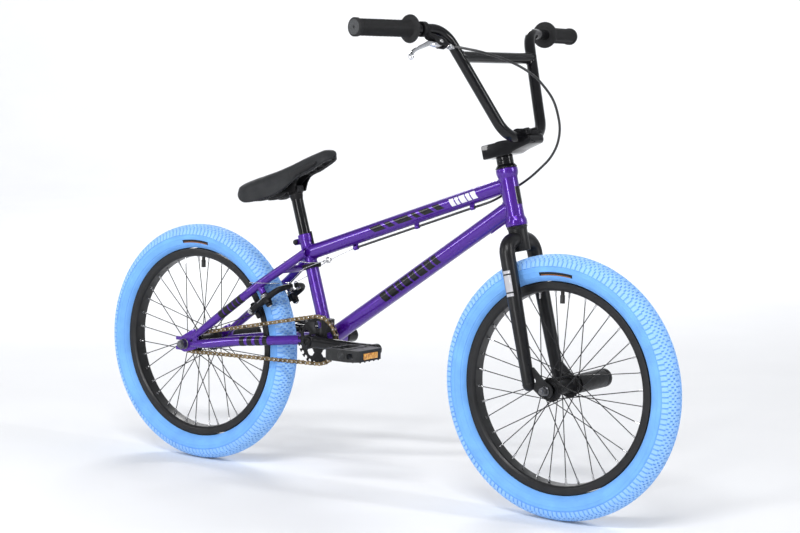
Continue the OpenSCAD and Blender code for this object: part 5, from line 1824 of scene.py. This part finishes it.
def make_straddle():
    end = HOUSING_ENDS[1]
    body = []
    for side in (-1, 1):
        body.append(wire([
            YOKE + Vector((-2, side * 6.5, 0)), YOKE + Vector((-22, side * 18, -8)), Vector(
                (-166, side * 23.5, 450)
            ),
            Vector((-188, side * 21, 432)), brake_point(ANCHOR_S + 7, side * (ANCHOR_Y + 1), ARM_K - 7),
        ]))
    body.append(wire([end + Vector((-1, 0, -0.3)), end.lerp(YOKE, 0.5), YOKE + Vector((7.5, 0, 3))]))
    body.append(wire([YOKE + Vector((-6, -2, -3)), Vector((-150, -17, 466)), WIRE_TAIL[0], WIRE_TAIL[1]]))
    body.append(wire([brake_point(ANCHOR_S + 4, -ANCHOR_Y - 1, ARM_K - 7.6), *STRADDLE_TAIL]))
    add("straddle_wires", join(*body), "frame", "steel", ["straddle_cable"])
    along = (Vector((7, 0, 3)) * 2).normalized()
    across = Y
    up = along.cross(across)
    outline = rounded(
        [(-9, -6), (-3, -11), (5, -4.6), (9, -3.4), (9, 3.4), (5, 4.6), (-3, 11), (-9, 6)], 2.5,
    )
    plate = extruded(YOKE, along, across, outline, -2.6, 2.6)
    groove = tube([YOKE + Vector((-3, -14, 0)), YOKE + Vector((-3, 14, 0))], 1.3, 16)
    add("yoke", carved(plate, [groove]), "frame", "steel", bevel=0.6)
    bolt = join(
        turned(YOKE, up, [(0, -6), (3.4, -6), (3.8, -2.5), (0, -2.5)], 0.4, steps=32),
        extruded(YOKE + up * 2.4, along, across, hexagon(8), 0, 4.2),
        turned(YOKE, up, [(0, 6.4), (2.4, 6.4), (2.4, 8), (0, 8)], 0.3, steps=32),
    )
    add("yoke_bolt", bolt, "frame", "steel")
    caps = [
        turned(tip, way, [(0.2, -7), (1.3, -7), (1.3, 0), (0.2, 0.6)], 0.3, steps=20)
        for tip, way in (
            (WIRE_TAIL[1], (WIRE_TAIL[1] - WIRE_TAIL[0]).normalized()),
            (STRADDLE_TAIL[-1], (STRADDLE_TAIL[-1] - STRADDLE_TAIL[-2]).normalized()),
        )
    ]
    add("wire_end_caps", join(*caps), "frame", "steel")


# ---------- seat ----------


def ease(t):
    t = min(max(t, 0), 1)
    return t * t * (3 - 2 * t)


def seat_ends(u):
    tail = math.sqrt(max(0.02, 1 - max(0, 1 - u / 0.2) ** 2))
    return tail, math.sqrt(max(0.02, 1 - max(0, (u - 0.9) / 0.1) ** 2))


def seat_round(u):
    tail, nose = seat_ends(u)
    return tail * nose


def seat_ridge(u):
    tail, nose = seat_ends(u)
    return 621 + 88 * u + 6 * ease((u - 0.4) / 0.4) - 8 * (1 - tail) - 20 * (1 - nose)


def seat_skirt(u):
    return seat_round(u) * (0.72 + 0.28 * ease(u / 0.2)) * (
        37 + 16 * ease(u / 0.3) - 18 * ease((u - 0.42) / 0.3) - 8 * ease((u - 0.76) / 0.2)
    )


def seat_arc(u, inset, drop, deep, thin, steps):
    """One section of the seat, from its left foot over its top to its right foot."""
    half = max(2, seat_round(u) * (65 - 41 * ease((u - 0.12) / 0.6)) - inset)
    foot = seat_ridge(u) - seat_skirt(u) - deep
    rise = max(thin, seat_ridge(u) - drop - foot)
    out = []
    for j in range(steps + 1):
        t = 2 * j / steps - 1
        a = math.pi / 2 * (1 + math.copysign(1 - (1 - abs(t)) ** 1.9, t))
        side = math.cos(a)
        y = half * math.copysign(abs(side) ** 0.7, side)
        out.append(Vector((-346 + 244 * u, y, foot + rise * max(math.sin(a), 0) ** 0.55)))
    return out


def seat_bowl(start, end, outer, inner, rings, steps, lip=0.0, soft=0.0):
    """A bowl open downwards between two surfaces of the seat, with a rolled lip."""
    points = []
    row = 0
    for i in range(rings + 1):
        u = start + (end - start) * (0.5 - 0.5 * math.cos(math.pi * i / rings))
        skin = seat_arc(u, *outer, steps)
        lining = seat_arc(u, *inner, steps)[::-1]
        centre = Vector((skin[0].x, 0, skin[0].z))
        if soft:
            height = skin[steps // 2].z - skin[0].z
            for j, p in enumerate(skin):
                up = (p.z - skin[0].z) / max(height, 1)
                away = (p - centre).normalized()
                lift = 0.55 * noise.noise(p * 0.03) + 0.22 * noise.noise(p * 0.11)
                pull = 1.6 * math.exp(-((up - 0.42) / 0.2) ** 2)
                gathers = 0.35 * math.exp(-up * 7) * math.sin(p.x * 0.62 + p.y * 0.5)
                skin[j] = p + away * soft * (lift - pull * seat_round(u) + gathers)
        if lip:
            first, last = skin[0].copy(), skin[-1].copy()
            inward = min(lip, max(first.y, 3) * 0.4)
            skin = [first + Vector((0, -inward, -0.2)), first + Vector((0, -inward * 0.5, -1.4))] + skin
            skin += [last + Vector((0, inward * 0.5, -1.4)), last + Vector((0, inward, -0.2))]
        section = skin + lining
        row = len(section)
        points += section
    faces = []
    for i in range(rings):
        for j in range(row):
            k = (j + 1) % row
            faces.append((i * row + j, (i + 1) * row + j, (i + 1) * row + k, i * row + k))
    for i in (0, rings):
        ring = [i * row + j for j in range(row)]
        faces.append(tuple(ring if i else ring[::-1]))
    return points, faces


def make_seat():
    cover = add("seat_padding", seat_bowl(
        0, 1, (0, 0, 0, 2), (7, 17.5, 0.6, 4), 90, 64, 4.5, 1.0,
    ), "seat", "seat_vinyl",
                ["seat_cover"], sharp=70)
    base = [seat_bowl(0.06, 0.96, (8.7, 19.7, -0.2, 2.6), (12, 23, -0.2, 1.4), 60, 40)]
    add("seat_base_plate", join(*base), "seat", "seat_plastic", ["seat_shell"], sharp=50)
    x = Vector((1, 0, 0))
    z = Vector((0, 0, 1))
    ribs = []
    for y in (-26, 26, -17, 17):
        low = []
        high = []
        for i in range(25):
            u = 0.2 + 0.68 * i / 24
            at = -346 + 244 * u
            hang = 7 * math.exp(-((at + 226) / 26) ** 2) if abs(y) < 20 else 0
            inner = seat_ridge(u) - 20.5
            low.append(
                (at, min(seat_ridge(u) - seat_skirt(u) - 0.5 - hang + 5 * ease((at + 215) / 30), inner - 3))
            )
            high.append((at, inner))
        ribs.append(extruded(Vector((0, y, 0)), x, z, low + high[::-1], -1.3, 1.3))
    for i in range(9):
        u = 0.24 + 0.61 * i / 8
        at = -346 + 244 * u
        if abs(at - SEAT_PIVOT.x) > 24:
            deep = seat_skirt(u) - 22
            ribs.append(
                block(Vector((at, 0, seat_ridge(u) - 21 - deep / 2)), x, Y, (2.2, 52, max(deep, 4)))
            )
    add("seat_base_ribs", join(*ribs), "seat", "seat_plastic", sharp=30, bevel=0.5)
    outline = [
        (-16, -9), (-18, 2), (-25, 12), (-34, 17), (-34, 34), (30, 44), (30, 30), (20, 14), (17.5, 4),
        (15, -5),
    ]
    housing = extruded(SEAT_PIVOT, x, z, rounded(outline, 4), -20, 20)
    room = [
        turned(SEAT_PIVOT, Y, [(0, -13), (15.9, -13), (15.9, 13), (0, 13)], 0, steps=48),
        tube([SEAT_PIVOT - SEAT_UP * 40, SEAT_PIVOT], 18.5, 40),
    ]
    softened("seat_socket", carved(housing, room), "seat", "seat_plastic", 1.0, 3)
    staples = []
    for i in range(34):
        u = 0.1 + 0.83 * i / 33
        foot = seat_arc(u, 5.5, 19, 1.3, 2, 8)
        for p in (foot[0], foot[-1]):
            if abs(p.y) > 6:
                staples.append(block(p + Vector((0, 0, 0.4)), x, Y, (5, 0.9, 0.9)))
    add("seat_staples", join(*staples), "seat", "steel")


def make_seat_post():
    foot = SEAT_TOP - SEAT_UP * 95
    top = SEAT_TOP + SEAT_UP * 88
    post = turned(
        foot, SEAT_UP, [(10.2, 0), (12.7, 0), (12.7, 176), (13.4, 180), (15.2, 184), (10.2, 184)], 0.8,
        ring=True,
    )
    add("post_tube", post, "post", "black_paint", ["seat_post"])
    head = join(
        turned(SEAT_PIVOT, Y, [(0, -12.4), (15.4, -12.4), (15.4, 12.4), (0, 12.4)], 1.0),
        tube([top - SEAT_UP * 12, top - SEAT_UP * 2, SEAT_PIVOT], [12.6, 14.6, 12.6], 40),
    )
    lid = block(
        SEAT_PIVOT + Vector((-4, 0, 21)), (math.cos(math.radians(20)), 0, math.sin(math.radians(20))), Y,
        (60, 40, 30),
    )
    softened("post_head", carved(head, [lid]), "post", "black_metal", 0.8, 2)
    serrations = join(*[
        block(
            SEAT_PIVOT + 15.2 * Vector((math.cos(a), 0, math.sin(a))), Vector(
                (-math.sin(a), 0, math.cos(a))
            ), Y, (1.1, 22, 1.0)
        )
        for a in [math.radians(150 + 7.5 * i) for i in range(33)]
    ])
    add("post_serrations", serrations, "post", "black_metal")


def make_inner_parts():
    refined("driver_cog", "rear_driver", "driver", "steel", 0.25)
    refined("spindle", "crank_spindle", "crank", "steel", 0.5)
    refined("bearing_cups", "frame_bearings", "frame", "steel", 0.3)


make_main_tubes()
make_seat_tube()
make_stays()
make_cable_fittings()
make_brake_bosses()
make_graphics()
make_wheel("front", FRONT, "front_wheel", 34, -34)
make_wheel("rear", REAR, "rear_wheel", 36, -26)
make_hubs()
make_axles()
make_peg("front", FRONT, 56.1, 116, 4.9, "steering")
make_peg("rear", REAR, 61.1, 122, 7.1, "frame")
make_chain()
make_crank()
for side_word, side_sign in SIDES.items():
    make_pedal(side_word, side_sign)
make_fork()
make_stem()
make_bars()
make_grips()
make_brake_lever()
make_lever_bracket()
make_cables()
for side_word, side_sign in SIDES.items():
    make_brake_arm(side_word, side_sign)
make_straddle()
make_seat()
make_seat_post()
make_inner_parts()

for cad_name, slot_name in (
    ("front_inner_tube", "tube_rubber"), ("rear_inner_tube", "tube_rubber"),
):
    slots = frame["nodes"][cad_name].data.materials
    slots.clear()
    slots.append(LOOKS[slot_name])
